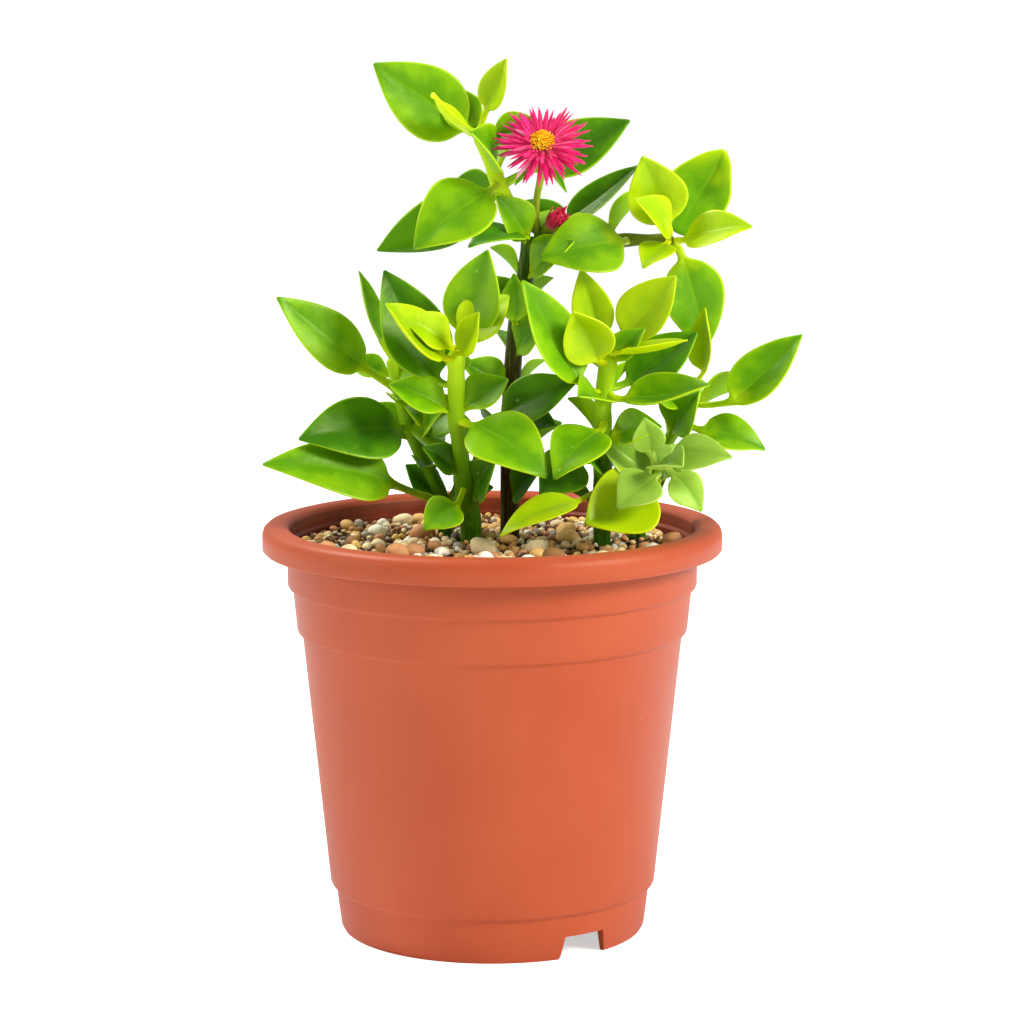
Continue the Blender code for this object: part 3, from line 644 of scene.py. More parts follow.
LARGE_STONES = 44
LARGE_SIZES = (3.4, 6.4)
LARGE_TINTS = ("white", "cream", "cream", "yellow", "tan", "pink")
GOLDEN_ANGLE = math.pi * (3.0 - math.sqrt(5.0))     # it spreads them evenly over the gravel
stones = []
for count in range(LARGE_STONES):
    reach = (GRAVEL_RADIUS - 3.0) * math.sqrt((count + draw.random()) / LARGE_STONES)
    angle = count * GOLDEN_ANGLE + draw.uniform(-0.3, 0.3)
    x, y = reach * math.cos(angle), reach * math.sin(angle)
    size, tint = draw.uniform(*LARGE_SIZES), draw.choice(LARGE_TINTS)
    if not free_place(x, y, size, 0.5):
        continue
    laid.append((Vector((x, y)), size))
    turn = Vector((draw.uniform(-0.3, 0.3), draw.uniform(-0.3, 0.3), 1.0)).to_track_quat("Z", "Y")
    turn = turn @ Matrix.Rotation(draw.uniform(0, math.tau), 3, "Z").to_quaternion()
    place = Vector((x, y, ground_height(x, y) + 0.9 + size * 0.22))
    stones.append((place, size, draw.uniform(0.6, 0.75), turn, STONE_TINTS[tint], True))
large = add_piece("large_pebbles", heap(stones), STONE, ["gravel_layer"])
print("large pebbles:", len(stones), "with", len(large.data.polygons), "faces")

# %% Small pebbles and chips
SMALL_STONES = 1500
stones = []
tries = 0
while len(stones) < SMALL_STONES and tries < SMALL_STONES * 6:
    tries += 1
    reach = GRAVEL_RADIUS * math.sqrt(draw.random())
    angle = draw.uniform(0, math.tau)
    x, y = reach * math.cos(angle), reach * math.sin(angle)
    size = draw.choice((1.1, 1.3, 1.5, 1.7, 2.0, 2.4, 2.9))
    if not free_place(x, y, size, 0.33):
        continue
    # more dark chips to the back and left, and more cream and pink to the front right
    darkness = 0.24 - 0.006 * (x - y) + 0.30 * noise.noise(Vector((x, y, 9)) * 0.12)
    if draw.random() < darkness:
        tint = draw.uniform(0.62, 0.86)
    else:
        tint = draw.choice((0.0, 0.04, 0.08, 0.14, 0.2, 0.24, 0.3, 0.4, 0.48, 0.98))
    turn = Vector((draw.uniform(-0.6, 0.6), draw.uniform(-0.6, 0.6), 1.0)).to_track_quat("Z", "Y")
    turn = turn @ Matrix.Rotation(draw.uniform(0, math.tau), 3, "Z").to_quaternion()
    place = Vector((x, y, ground_height(x, y) + 0.3 + size * 0.22 + draw.uniform(0.0, 0.7)))
    stones.append((place, size, draw.uniform(0.5, 0.85), turn, tint))
    laid.append((Vector((x, y)), size))
small = add_piece("small_pebbles", heap(stones), STONE, ["gravel_layer"])
print("small pebbles:", len(stones), "with", len(small.data.polygons), "faces")

# %% [markdown]
# ## Stems
# Each stem follows its solid's centre line. The stems are soft and round, a little swollen where a pair of
# leaves grows out, and never quite straight. A circle extruded from place to place makes the tube.

# %% Juicy stems
def stem_skin(name, stops, top, bottom):
    """A fleshy stem's skin. The colour changes with height, between bottom and top in millimetres."""
    material, tree, shader = new_material(name)
    where = add_node(tree, "ShaderNodeTexCoord").outputs["Object"]
    height = add_node(tree, "ShaderNodeSeparateXYZ", {"Vector": where}).outputs["Z"]
    wander = add_node(tree, "ShaderNodeTexNoise", {"Vector": where, "Scale": 90.0, "Detail": 3.0}).outputs["Fac"]
    share = add_node(tree, "ShaderNodeMapRange", {"Value": height, "From Min": bottom * MM, "From Max": top * MM})
    moved = add_node(tree, "ShaderNodeMath", {0: wander, 1: 0.22, 2: share.outputs["Result"]},
                     operation="MULTIPLY_ADD")
    shift = add_node(tree, "ShaderNodeMath", {0: moved.outputs[0], 1: 0.11}, operation="SUBTRACT")
    colour = add_node(tree, "ShaderNodeValToRGB", {"Fac": shift.outputs[0]}, stops=stops).outputs["Color"]
    # fine streaks along the stem, about half a millimetre apart
    run = add_node(tree, "ShaderNodeMapping", {"Vector": where, "Scale": (1900.0, 1900.0, 160.0)}).outputs[0]
    streaks = add_node(tree, "ShaderNodeTexNoise", {"Vector": run, "Scale": 1.0, "Detail": 2.0}).outputs["Fac"]
    light = add_node(tree, "ShaderNodeMapRange", {"Value": streaks, "From Min": 0.5, "From Max": 0.75,
                                                  "To Max": 0.25})
    colour = add_node(tree, "ShaderNodeMix", {0: light.outputs["Result"], 6: colour, 7: "#9CB01E"},
                      data_type="RGBA").outputs[2]
    tree.links.new(colour, shader.inputs["Base Color"])
    shader.inputs["Roughness"].default_value = 0.38
    shader.inputs["Specular IOR Level"].default_value = 0.22
    shader.inputs["Specular Tint"].default_value = linear("#F4FFB0")
    shader.inputs["Subsurface Weight"].default_value = 0.2
    shader.inputs["Subsurface Radius"].default_value = (0.6, 1.0, 0.2)
    shader.inputs["Subsurface Scale"].default_value = 1.0 * MM
    ridges = add_node(tree, "ShaderNodeBump", {"Height": streaks, "Strength": 0.12, "Distance": 0.15 * MM})
    tree.links.new(ridges.outputs["Normal"], shader.inputs["Normal"])
    return material


GREEN_SKIN = stem_skin("young_green_stem", [(0.0, "#2F5E08"), (0.35, "#568E08"), (0.65, "#8EBC0C"),
                                            (1.0, "#B8DA14")], 135.0, 92.0)
OLIVE_SKIN = stem_skin("olive_stem", [(0.0, "#6C7A1C"), (0.5, "#8C9C22"), (1.0, "#9FB82C")], 182.0, 156.0)
BROWN_SKIN = stem_skin("older_stem", [(0.0, "#2A1A08"), (0.3, "#432008"), (0.5, "#3A2606"), (0.68, "#2A3C06"),
                                      (1.0, "#34520A")], 160.0, 92.0)
STEM_SKINS = {"main_stem": BROWN_SKIN, "flower_stalk": OLIVE_SKIN, "right_stem": OLIVE_SKIN}
STEM_SIDES = 16
SWELLING = 0.28           # how much a node of the stem swells, in millimetres
NODE_LENGTH = 1.6

LEAF_FEET = [ribs[0][0] for ribs, side, up in LEAVES.values()]


def add_tube(bm, line, sides=STEM_SIDES):
    """Extrudes a circle along (centre, radius) pairs. Its ends are closed with caps."""
    onward = (line[1][0] - line[0][0]).normalized()
    frame_turn = onward.to_track_quat("Z", "Y")
    ring = bmesh.ops.create_circle(bm, cap_ends=True, segments=sides, radius=1.0)["verts"]
    flat = [vert.co.copy() for vert in ring]
    edges = [edge for edge in bm.edges if all(vert in ring for vert in edge.verts)]

    def settle(verts, centre, radius):
        for vert, place in zip(verts, flat):
            vert.co = centre + frame_turn @ (place * radius)

    settle(ring, *line[0])
    for step in range(1, len(line)):
        next_way = (line[min(step + 1, len(line) - 1)][0] - line[step - 1][0]).normalized()
        frame_turn = onward.rotation_difference(next_way) @ frame_turn
        onward = next_way
        moved = bmesh.ops.extrude_edge_only(bm, edges=edges)["geom"]
        edges = [item for item in moved if isinstance(item, bmesh.types.BMEdge)]
        new_verts = [item for item in moved if isinstance(item, bmesh.types.BMVert)]
        order = {}
        for vert in new_verts:
            for edge in vert.link_edges:
                other = edge.other_vert(vert)
                if other in ring:
                    order[ring.index(other)] = vert
        ring = [order[index] for index in range(sides)]
        edges = [edge for edge in edges if all(vert in ring for vert in edge.verts)]
        settle(ring, *line[step])
    bmesh.ops.holes_fill(bm, edges=[edge for edge in bm.edges if edge.is_boundary])


def fine_line(line, detail=3):
    """A stem's line with more places on it, swollen near the leaves' feet."""
    centres = [centre for centre, radius in line]
    radii = [radius for centre, radius in line]
    fine = []
    for step in range((len(line) - 1) * detail + 1):
        place = step / detail
        centre, radius = curve_value(centres, place), curve_value(radii, place)
        near = min((centre - foot).length for foot in LEAF_FEET) / MM
        swell = SWELLING * math.exp(-((near - 2.5) / NODE_LENGTH) ** 2) if near > 2.5 else SWELLING
        wobble = 0.08 * noise.noise(centre / MM * 0.35)
        fine.append((centre, radius + (swell + wobble) * MM * min(1.0, radius / MM)))
    return fine


for node, line in STEMS.items():
    bm = bmesh.new()
    add_tube(bm, fine_line(line))
    bmesh.ops.recalc_face_normals(bm, faces=bm.faces)
    skin = STEM_SKINS.get(node, GREEN_SKIN)
    stem = add_piece(node.replace("_stem", "_stem_skin").replace("_stalk", "_stalk_skin"), bm, skin,
                     [node])
    print(stem.name, len(stem.data.polygons), "faces")

# %% [markdown]
# ## Leaves
# The leaves are what the eye meets first. A real one is a fleshy, heart-shaped blade: thick along the midrib,
# thin and yellowish at the margin, glossy above and duller below. It is full of water, so light glows through
# it. Each is a flat grid bent over its ribs, and Solidify gives it flesh that thins out towards the margin.
# The grid's UV map runs across the leaf and along it, so the veins and the margin's colour follow its shape.

# %% Leaf skins
def leaf_skin(name, heart, flank, base, margin, vein, gloss=0.34, under=False):
    """A waxy leaf's skin. heart is the blade's middle, flank its outer part, base its foot at the stalk."""
    material, tree, shader = new_material(name)
    place = add_node(tree, "ShaderNodeUVMap", uv_map="leaf")
    split = add_node(tree, "ShaderNodeSeparateXYZ", {"Vector": place.outputs["UV"]})
    across, along = split.outputs["X"], split.outputs["Y"]
    centred = add_node(tree, "ShaderNodeMath", {0: across, 1: -0.5}, operation="ADD")
    outward = add_node(tree, "ShaderNodeMath", {0: centred.outputs[0]}, operation="ABSOLUTE")
    outward = add_node(tree, "ShaderNodeMath", {0: outward.outputs[0], 1: 2.0}, operation="MULTIPLY").outputs[0]
    where = add_node(tree, "ShaderNodeTexCoord").outputs["Object"]
    tone = add_node(tree, "ShaderNodeAttribute", attribute_name="tone").outputs["Fac"]
    # cloudy patches some five millimetres wide
    cloud = add_node(tree, "ShaderNodeTexNoise", {"Vector": where, "Scale": 130.0, "Detail": 3.0,
                                                  "Roughness": 0.55}).outputs["Fac"]
    cloudy = add_node(tree, "ShaderNodeMapRange", {"Value": cloud, "From Min": 0.3, "From Max": 0.7,
                                                   "To Min": -0.45, "To Max": 0.45}).outputs["Result"]
    spread = add_node(tree, "ShaderNodeMath", {0: outward, 1: cloudy}, operation="ADD").outputs[0]
    flanked = add_node(tree, "ShaderNodeMapRange", {"Value": spread, "From Min": 0.15, "From Max": 1.0,
                                                    "To Max": 0.75}, interpolation_type="SMOOTHSTEP")
    colour = add_node(tree, "ShaderNodeMix", {0: flanked.outputs["Result"], 6: heart, 7: flank},
                      data_type="RGBA").outputs[2]
    foot = add_node(tree, "ShaderNodeMath", {0: cloudy, 1: 0.35, 2: along}, operation="MULTIPLY_ADD").outputs[0]
    footed = add_node(tree, "ShaderNodeMapRange", {"Value": foot, "From Min": 0.48, "From Max": 0.02,
                                                   "To Max": 0.9}, interpolation_type="SMOOTHSTEP")
    colour = add_node(tree, "ShaderNodeMix", {0: footed.outputs["Result"], 6: colour, 7: base},
                      data_type="RGBA").outputs[2]
    # the midrib is a thin pale line that fades towards the tip
    rib = add_node(tree, "ShaderNodeMapRange", {"Value": outward, "From Min": 0.09, "From Max": 0.0},
                   interpolation_type="SMOOTHSTEP").outputs["Result"]
    fading = add_node(tree, "ShaderNodeMapRange", {"Value": along, "From Min": 1.0, "From Max": 0.3,
                                                   "To Max": 0.36}).outputs["Result"]
    ribbed = add_node(tree, "ShaderNodeMath", {0: rib, 1: fading}, operation="MULTIPLY").outputs[0]
    colour = add_node(tree, "ShaderNodeMix", {0: ribbed, 6: colour, 7: vein},
                      data_type="RGBA").outputs[2]
    # side veins leave the midrib at a slant, about eight to a side, and hardly show in so fleshy a leaf
    slant = add_node(tree, "ShaderNodeMath", {0: outward, 1: -0.32, 2: along}, operation="MULTIPLY_ADD").outputs[0]
    wavy = add_node(tree, "ShaderNodeMath", {0: cloudy, 1: 0.10, 2: slant}, operation="MULTIPLY_ADD").outputs[0]
    beat = add_node(tree, "ShaderNodeMath", {0: wavy, 1: 44.0}, operation="MULTIPLY").outputs[0]
    wave = add_node(tree, "ShaderNodeMath", {0: beat}, operation="SINE").outputs[0]
    veined = add_node(tree, "ShaderNodeMapRange", {"Value": wave, "From Min": 0.80, "From Max": 1.0,
                                                   "To Max": 0.05}).outputs["Result"]
    colour = add_node(tree, "ShaderNodeMix", {0: veined, 6: colour, 7: vein},
                      data_type="RGBA").outputs[2]
    edge = add_node(tree, "ShaderNodeMapRange", {"Value": outward, "From Min": 0.91, "From Max": 0.995,
                                                 "To Max": 0.7}, interpolation_type="SMOOTHSTEP")
    colour = add_node(tree, "ShaderNodeMix", {0: edge.outputs["Result"], 6: colour, 7: margin},
                      data_type="RGBA").outputs[2]
    # the odd pale speck where a drop of hard water dried
    fleck = add_node(tree, "ShaderNodeTexVoronoi", {"Vector": where, "Scale": 330.0}, feature="F1")
    chance = add_node(tree, "ShaderNodeSeparateColor", {"Color": fleck.outputs["Color"]}).outputs[0]
    rare = add_node(tree, "ShaderNodeMath", {0: chance, 1: 0.90}, operation="GREATER_THAN").outputs[0]
    spot = add_node(tree, "ShaderNodeMapRange", {"Value": fleck.outputs["Distance"], "From Min": 0.16,
                                                 "From Max": 0.06, "To Max": 0.35}).outputs["Result"]
    spotted = add_node(tree, "ShaderNodeMath", {0: rare, 1: spot}, operation="MULTIPLY").outputs[0]
    colour = add_node(tree, "ShaderNodeMix", {0: spotted, 6: colour, 7: "#C9E07A"},
                      data_type="RGBA").outputs[2]
    shade = add_node(tree, "ShaderNodeHueSaturation", {"Color": colour, "Value": tone})
    tree.links.new(shade.outputs["Color"], shader.inputs["Base Color"])
    rough = add_node(tree, "ShaderNodeMapRange", {"Value": cloud, "From Min": 0.3, "From Max": 0.7,
                                                  "To Min": gloss, "To Max": gloss + 0.12})
    tree.links.new(rough.outputs["Result"], shader.inputs["Roughness"])
    shader.inputs["Specular IOR Level"].default_value = 0.2 if under else 0.36
    shader.inputs["Specular Tint"].default_value = linear("#F4FFB0")
    shader.inputs["Subsurface Weight"].default_value = 0.22
    shader.inputs["Subsurface Radius"].default_value = (0.7, 1.0, 0.15)
    shader.inputs["Subsurface Scale"].default_value = 1.2 * MM
    # the skin's tiny water cells are about 0.2 mm; drawn at 0.35 mm they just roughen the gloss
    cells = add_node(tree, "ShaderNodeTexNoise", {"Vector": where, "Scale": 2800.0, "Detail": 1.0})
    fine = add_node(tree, "ShaderNodeBump", {"Height": cells.outputs["Fac"], "Strength": 0.10,
                                             "Distance": 0.1 * MM})
    dimple = add_node(tree, "ShaderNodeBump", {"Height": cloud, "Strength": 0.45, "Distance": 0.8 * MM,
                                               "Normal": fine.outputs["Normal"]})
    relief = add_node(tree, "ShaderNodeBump", {"Height": veined, "Strength": 0.5, "Distance": 0.15 * MM,
                                               "Normal": dimple.outputs["Normal"]})
    tree.links.new(relief.outputs["Normal"], shader.inputs["Normal"])
    return material


LEAF_SKINS = {
    # heart, flank, base, margin, vein
    "leaf_fresh": ("waxy_fresh_leaf", "#569200", "#88BA00", "#C0DA00", "#BEDA14", "#9CC41A"),
    # a darker copy of the same skin: deep green, and painted shade
    "leaf_deep": ("waxy_deep_leaf", "#2F6600", "#548E00", "#8CB400", "#9CC012", "#6E9814"),
    # a lighter copy of the same skin: paler young growth, and painted sunlight
    "leaf_sunny": ("waxy_young_leaf", "#98BE00", "#BAD400", "#DEE200", "#D4E212", "#C6D41C"),
    "leaf_pale": ("bloomed_small_leaf", "#86B034", "#A0C446", "#B4D04A", "#C4DC68", "#B8D274"),
}
SKINS = {}
for slot, (name, heart, flank, base, margin, vein) in LEAF_SKINS.items():
    top = leaf_skin(name, heart, flank, base, margin, vein)
    below = leaf_skin(name + "_underside", flank, flank, base, margin, vein, gloss=0.5, under=True)
    SKINS[slot] = [top, below]
print("leaf skins:", len(SKINS))

# %% Growing a leaf
LEAF_COLUMNS = 10
LEAF_LENGTHS = 22
FLESH = 1.45              # thickness at the midrib, in millimetres
MARGIN_SHARE = 0.3        # the margin's part of it
CUP = 1.3                 # as in the solids: the halves rise a little rounded
PLUMPNESS = 0.13          # how much wider a blade is than its solid
TIGHT_FOLD = 0.75         # a young leaf folded more than this opens a little as it is drawn
GROOVE = 0.22             # how deep the midrib lies in its channel, in millimetres


def grow_leaf(name, ribs, side, up, slot, tone, stands_for=()):
    """A finished leaf over its ribs, rooted in the nearest stem."""
    foot = ribs[0][0]
    centre, radius = nearest_on_stems(foot)
    inward = centre - foot
    if inward.length < 6 * MM:
        root = foot + inward.normalized() * max(0.0, inward.length - radius * 0.35)
        ribs = [(root, min(ribs[0][1] * 1.1, radius * 0.85), ribs[0][2] * 0.5), *ribs]
    last_rib, last_width, last_lift = ribs[-1]
    onward = (last_rib - ribs[-2][0]).normalized()
    ribs = [*ribs[:-1], (last_rib + onward * 0.3 * MM, 0.16 * MM, last_lift)]
    middles, widths, lifts = zip(*ribs)
    most = max(widths)
    if max(lifts) > TIGHT_FOLD * most:
        lifts = [lift * 0.65 for lift in lifts]
        widths = [width * 1.35 for width in widths]
    widths = [width * (1.0 + PLUMPNESS * (width / most) ** 2) for width in widths]
    seed = (sum(ord(letter) * (place + 1) for place, letter in enumerate(name)) % 997) * 0.37

    bm = bmesh.new()
    bmesh.ops.create_grid(bm, x_segments=LEAF_LENGTHS, y_segments=LEAF_COLUMNS, size=1.0)
    uv = bm.loops.layers.uv.new("leaf")
    tone_layer = bm.verts.layers.float.new("tone")
    flesh = bm.verts.layers.deform.new()
    spots = {}
    for vert in bm.verts:
        along, across = (vert.co.x + 1) / 2, vert.co.y
        spots[vert] = (across / 2 + 0.5, along)
        place = along * (len(ribs) - 1)
        width = max(curve_value(widths, place), 0.12 * MM)
        waviness = 0.045 * width * noise.noise(Vector((seed, along * 4.0, across * 1.2)))
        lift = curve_value(lifts, place) * abs(across) ** CUP
        ripple = 0.10 * width * abs(across) ** 2 * noise.noise(Vector((along * 3.4, across * 0.7, seed)))
        groove = GROOVE * MM * math.exp(-(across / 0.16) ** 2) * math.sin(math.pi * min(1.0, along * 1.02))
        vert.co = curve_value(middles, place) + side * (across * width + waviness) + up * (lift + ripple - groove)
        vert[tone_layer] = tone
        vert[flesh][0] = (1.0 - abs(across) ** 2.6) * (1.0 - 0.93 * along ** 5)
    for face in bm.faces:
        for loop in face.loops:
            loop[uv].uv = spots[loop.vert]
    bm.normal_update()
    if sum(face.normal.dot(up) * face.calc_area() for face in bm.faces) < 0:
        bmesh.ops.reverse_faces(bm, faces=bm.faces)
    leaf = add_piece(name, bm, SKINS[slot], stands_for)
    leaf.vertex_groups.new(name="flesh")
    solid = leaf.modifiers.new("flesh", "SOLIDIFY")
    solid.thickness = min(FLESH * MM, 0.24 * most)
    solid.offset = 0.0
    solid.vertex_group = "flesh"
    solid.thickness_vertex_group = MARGIN_SHARE
    solid.material_offset = 1
    soften(leaf)
    return leaf


node_slots = {row["node"]: row["material_slot"] for row in frame["record"]["subparts"]}
for node, (ribs, side, up) in LEAVES.items():
    tone = 1.0 + 0.10 * math.sin(sum(map(ord, node)) * 1.7)
    grow_leaf(node.replace("_leaf_", "_blade_"), ribs, side, up, node_slots[node], tone, [node])
print("leaves grown:", len(LEAVES))

# %% [markdown]
# Between the big leaves a real plant is full of small ones: side shoots, leaves that hide behind others, and the
# ones round the back. They have no solids of their own, so they follow the plant's own rule instead of a list:
# leaves stand in opposite pairs, every pair is turned a quarter round from the one below, and a leaf only
# unfolds where there is room for it. The stems in the frame give every foot.

# %% Small leaves of the side shoots
OUTLINE = (0.16, 0.36, 0.80, 1.0, 0.98, 0.82, 0.54, 0.05)   # half widths along a leaf, as shares of the widest
FOLD = 0.24                                                 # how far the margins rise, per width


def planned_ribs(foot, reach, width, face, bow=0.06):
    """Ribs for a leaf from foot to foot + reach whose upper side looks along face."""
    onward = reach.normalized()
    side = onward.cross(face).normalized()
    up = side.cross(onward).normalized()
    ribs = []
    for count, half in enumerate(OUTLINE):
        share = count / (len(OUTLINE) - 1)
        arch = up * (bow * reach.length * (4.0 * share * (1.0 - share) - share * share))
        ribs.append((foot + reach * share + arch, half * width / 2, half * width * FOLD))
    return ribs, side, up


PAIR_GAP = 7.5            # from one pair of leaves to the next along a stem, in millimetres
SIDE_LENGTHS = (11.0, 18.0)
SIDE_SLIMNESS = (0.50, 0.66)       # width per length
SIDE_RISE = (12.0, 52.0)           # degrees above level
ROOM = 0.36               # the free space a leaf needs round its middle, per width
TO_LIGHT = Vector((0.0, -0.75, 0.6))      # blades at the front turn to the light, those at the back to the sky
TO_SKY = Vector((0.0, 0.5, 0.85))


def room_for(place, needed, taken):
    """True if no leaf's midrib comes closer to place than needed."""
    return all((place - other).length > needed for other in taken)


def inside_solids(place):
    """True if place is within the box of all the solids, so that no side leaf makes the plant bigger."""
    return all(low + MM < value < high - MM for low, value, high in zip(cad_low, place, cad_high))


draw = random.Random(23)
taken = [rib[0] for ribs, side, up in LEAVES.values() for rib in ribs[2:]]
flower_place = sum((Vector(corner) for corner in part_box("flower_disc")), Vector()) / 2
taken += [flower_place, *(centre for centre, radius in STEMS["flower_stalk"])]
side_leaves = 0
for stem, line in STEMS.items():
    if stem == "flower_stalk":
        continue
    centres = [centre for centre, radius in line]
    radii = [radius for centre, radius in line]
    phase, walked, pair = draw.uniform(0.0, 90.0), 0.0, 0
    steps = (len(line) - 1) * 4
    for step in range(1, steps):
        before, here = (curve_value(centres, count / 4) for count in (step - 1, step))
        walked += (here - before).length / MM
        if walked < PAIR_GAP or here.z / MM < GRAVEL_TOP + 7.0:
            continue
        walked, pair = 0.0, pair + 1
        radius, share = curve_value(radii, step / 4), step / steps
        for half_turn in (0.0, 180.0):
            angle = math.radians(phase + 90.0 * pair + half_turn + draw.uniform(-14.0, 14.0))
            rise = math.radians(draw.uniform(*SIDE_RISE))
            length = draw.uniform(*SIDE_LENGTHS)
            width = length * draw.uniform(*SIDE_SLIMNESS)
            reach = Vector((math.cos(angle) * math.cos(rise), math.sin(angle) * math.cos(rise), math.sin(rise)))
            foot, tip = here + reach * radius * 0.7, here + reach * length * MM
            middle = foot.lerp(tip, 0.6)
            if not room_for(middle, width * ROOM * MM, taken) or not inside_solids(tip):
                continue
            ribs, side, up = planned_ribs(foot, tip - foot, width * MM, TO_SKY if reach.y > 0.35 else TO_LIGHT)
            # the top of a stem gets the lighter skin and its lower half the darker one: young and old leaf colour,
            # with painted sunlight above and painted shade below
            slot = "leaf_sunny" if share > 0.93 else "leaf_deep" if share < 0.5 else "leaf_fresh"
            if stem == "low_right_stem":
                slot = "leaf_pale"
            side_leaves += 1
            name = stem.replace("_stem", "") + "_side_blade_" + str(side_leaves)
            grow_leaf(name, ribs, side, up, slot, draw.uniform(0.92, 1.06))
            taken += [rib[0] for rib in ribs[2:]]
print("side leaves:", side_leaves)

# %% [markdown]
# The flower is a daisy-like whorl of needle petals, a millimetre wide or less, in several rows
# round a cushion of yellow stamens. Real petals are silky: deep magenta with paler streaks, almost white at the
# foot. They could be drawn on a disc, but their free tips are what the eye sees, so each one is a narrow strip
# bent up a little more in every inner row. Tints and lengths vary with a seeded draw, and the petals that point
# left are paled further, a painted sheen.

# %% Silky magenta petals
def silk(name, deep, bright, pale):
    """Petal tissue: silky, with streaks along each petal from its own attributes."""
    material, tree, shader = new_material(name)
    where = add_node(tree, "ShaderNodeTexCoord").outputs["Object"]
    along = add_node(tree, "ShaderNodeAttribute", attribute_name="along").outputs["Fac"]
    tint = add_node(tree, "ShaderNodeAttribute", attribute_name="tint").outputs["Fac"]
    # cell streaks, a fifth of a millimetre wide
    grain = add_node(tree, "ShaderNodeTexNoise", {"Vector": where, "Scale": 2400.0, "Detail": 2.0}).outputs["Fac"]
    mottled = add_node(tree, "ShaderNodeMath", {0: grain, 1: 0.5, 2: tint}, operation="MULTIPLY_ADD").outputs[0]
    body = add_node(tree, "ShaderNodeMapRange", {"Value": mottled, "From Min": 0.2, "From Max": 0.95})
    colour = add_node(tree, "ShaderNodeMix", {0: body.outputs["Result"], 6: deep, 7: bright},
                      data_type="RGBA").outputs[2]
    # a high tint pales a petal: pale streaks, and on the petals that point left a painted sheen
    pale_streaks_and_sheen = add_node(tree, "ShaderNodeMapRange", {"Value": mottled, "From Min": 1.0, "From Max": 1.3,
                                                  "To Max": 0.75}).outputs["Result"]
    colour = add_node(tree, "ShaderNodeMix", {0: pale_streaks_and_sheen, 6: colour, 7: pale},
                      data_type="RGBA").outputs[2]
    foot = add_node(tree, "ShaderNodeMapRange", {"Value": along, "From Min": 0.42, "From Max": 0.12,
                                                 "To Max": 0.35}).outputs["Result"]
    colour = add_node(tree, "ShaderNodeMix", {0: foot, 6: colour, 7: pale},
                      data_type="RGBA").outputs[2]
    tree.links.new(colour, shader.inputs["Base Color"])
    shader.inputs["Roughness"].default_value = 0.5
    shader.inputs["Specular IOR Level"].default_value = 0.25
    shader.inputs["Sheen Weight"].default_value = 0.15
    lines = add_node(tree, "ShaderNodeBump", {"Height": grain, "Strength": 0.3, "Distance": 0.08 * MM})
    tree.links.new(lines.outputs["Normal"], shader.inputs["Normal"])
    return material


PETAL_SILK = silk("magenta_petal_tissue", "#D0004E", "#F41878", "#FAB4CC")
BUD_SILK = silk("crimson_bud_tissue", "#A8002C", "#DC0C44", "#F07A98")


def main_axes(node):
    """A solid's middle and its three directions, from its longest to its thinnest."""
    bm = merged_copy(node)
    places = [vert.co.copy() for vert in bm.verts]
    bm.free()
    centre = middle_of(places)
    ways = numpy.linalg.svd(numpy.array([tuple(place - centre) for place in places]), full_matrices=False)[2]
    return centre, [Vector(way) for way in ways]


def add_ray(bm, foot, onward, up, length, width, curl, tint):
    """One needle petal: a narrow strip that tapers to its tip and curls towards up."""
    along_layer = bm.verts.layers.float["along"]
    tint_layer = bm.verts.layers.float["tint"]
    side = onward.cross(up).normalized()
    for vert in bmesh.ops.create_grid(bm, x_segments=6, y_segments=2, size=1.0)["verts"]:
        along, across = (vert.co.x + 1) / 2, vert.co.y
        half = width / 2 * (0.45 + 0.55 * math.sin(math.pi * (0.1 + 0.75 * along))) * (1.0 - 0.85 * along ** 5)
        vert.co = (foot + onward * (length * along) + side * (across * half)
                   + up * (curl * length * along ** 2 - 0.25 * half * (1.0 - abs(across))))
        vert[along_layer] = along
        vert[tint_layer] = tint


PETAL_ROWS = [
    # petals, shortest, longest, width (mm), tilt above the flat whorl and its spread (degrees)
    (34, 9.0, 11.8, 1.15, -5.0, 5.0),
    (34, 8.6, 11.6, 1.05, 5.0, 6.0),
    (28, 7.0, 10.0, 0.90, 18.0, 8.0),
    (20, 4.4, 7.2, 0.75, 38.0, 12.0),
]
whorl_centre, (*_, whorl_face) = main_axes("flower_petals")
if whorl_face.y > 0:
    whorl_face.negate()
whorl_side = Vector((1.0, 0.0, 0.0))
whorl_rise = whorl_face.cross(whorl_side).normalized()
whorl_side = whorl_rise.cross(whorl_face).normalized()
draw = random.Random(41)
bm = bmesh.new()
bm.verts.layers.float.new("along")
bm.verts.layers.float.new("tint")
for petals, shortest, longest, width, tilt, spread in PETAL_ROWS:
    for count in range(petals):
        angle = math.tau * (count + draw.uniform(-0.42, 0.42)) / petals + tilt
        way = whorl_side * math.cos(angle) + whorl_rise * math.sin(angle)
        lean = math.radians(tilt + draw.uniform(-spread, spread))
        onward = way * math.cos(lean) + whorl_face * math.sin(lean)
        up = whorl_face * math.cos(lean) - way * math.sin(lean)
        # petals that point left are paled: a painted sheen
        dust_and_painted_light = 0.45 if way.dot(whorl_side) < -0.5 else 0.0
        add_ray(bm, whorl_centre + way * 0.9 * MM, onward, up, (draw.uniform(shortest, longest) - 0.9) * MM,
                width * draw.uniform(0.8, 1.15) * MM, draw.uniform(-0.06, 0.07),
                draw.uniform(0.0, 0.62) + dust_and_painted_light * draw.random())
bmesh.ops.recalc_face_normals(bm, faces=bm.faces)
petals_piece = add_piece("needle_petals", bm, PETAL_SILK, ["flower_petals"])
film = petals_piece.modifiers.new("film", "SOLIDIFY")
film.thickness = 0.14 * MM
film.offset = 0.0
print("needle petals:", sum(row[0] for row in PETAL_ROWS))

# %% [markdown]
# The stamens are about a hundred threads, each with a yellow bag of pollen on its end, packed in a dome. On a real
# flower they follow a spiral, each turned by the golden angle from the one before, so the same rule places them.

# %% Yellow stamens
material, tree, shader = new_material("pollen")
where = add_node(tree, "ShaderNodeTexCoord").outputs["Object"]
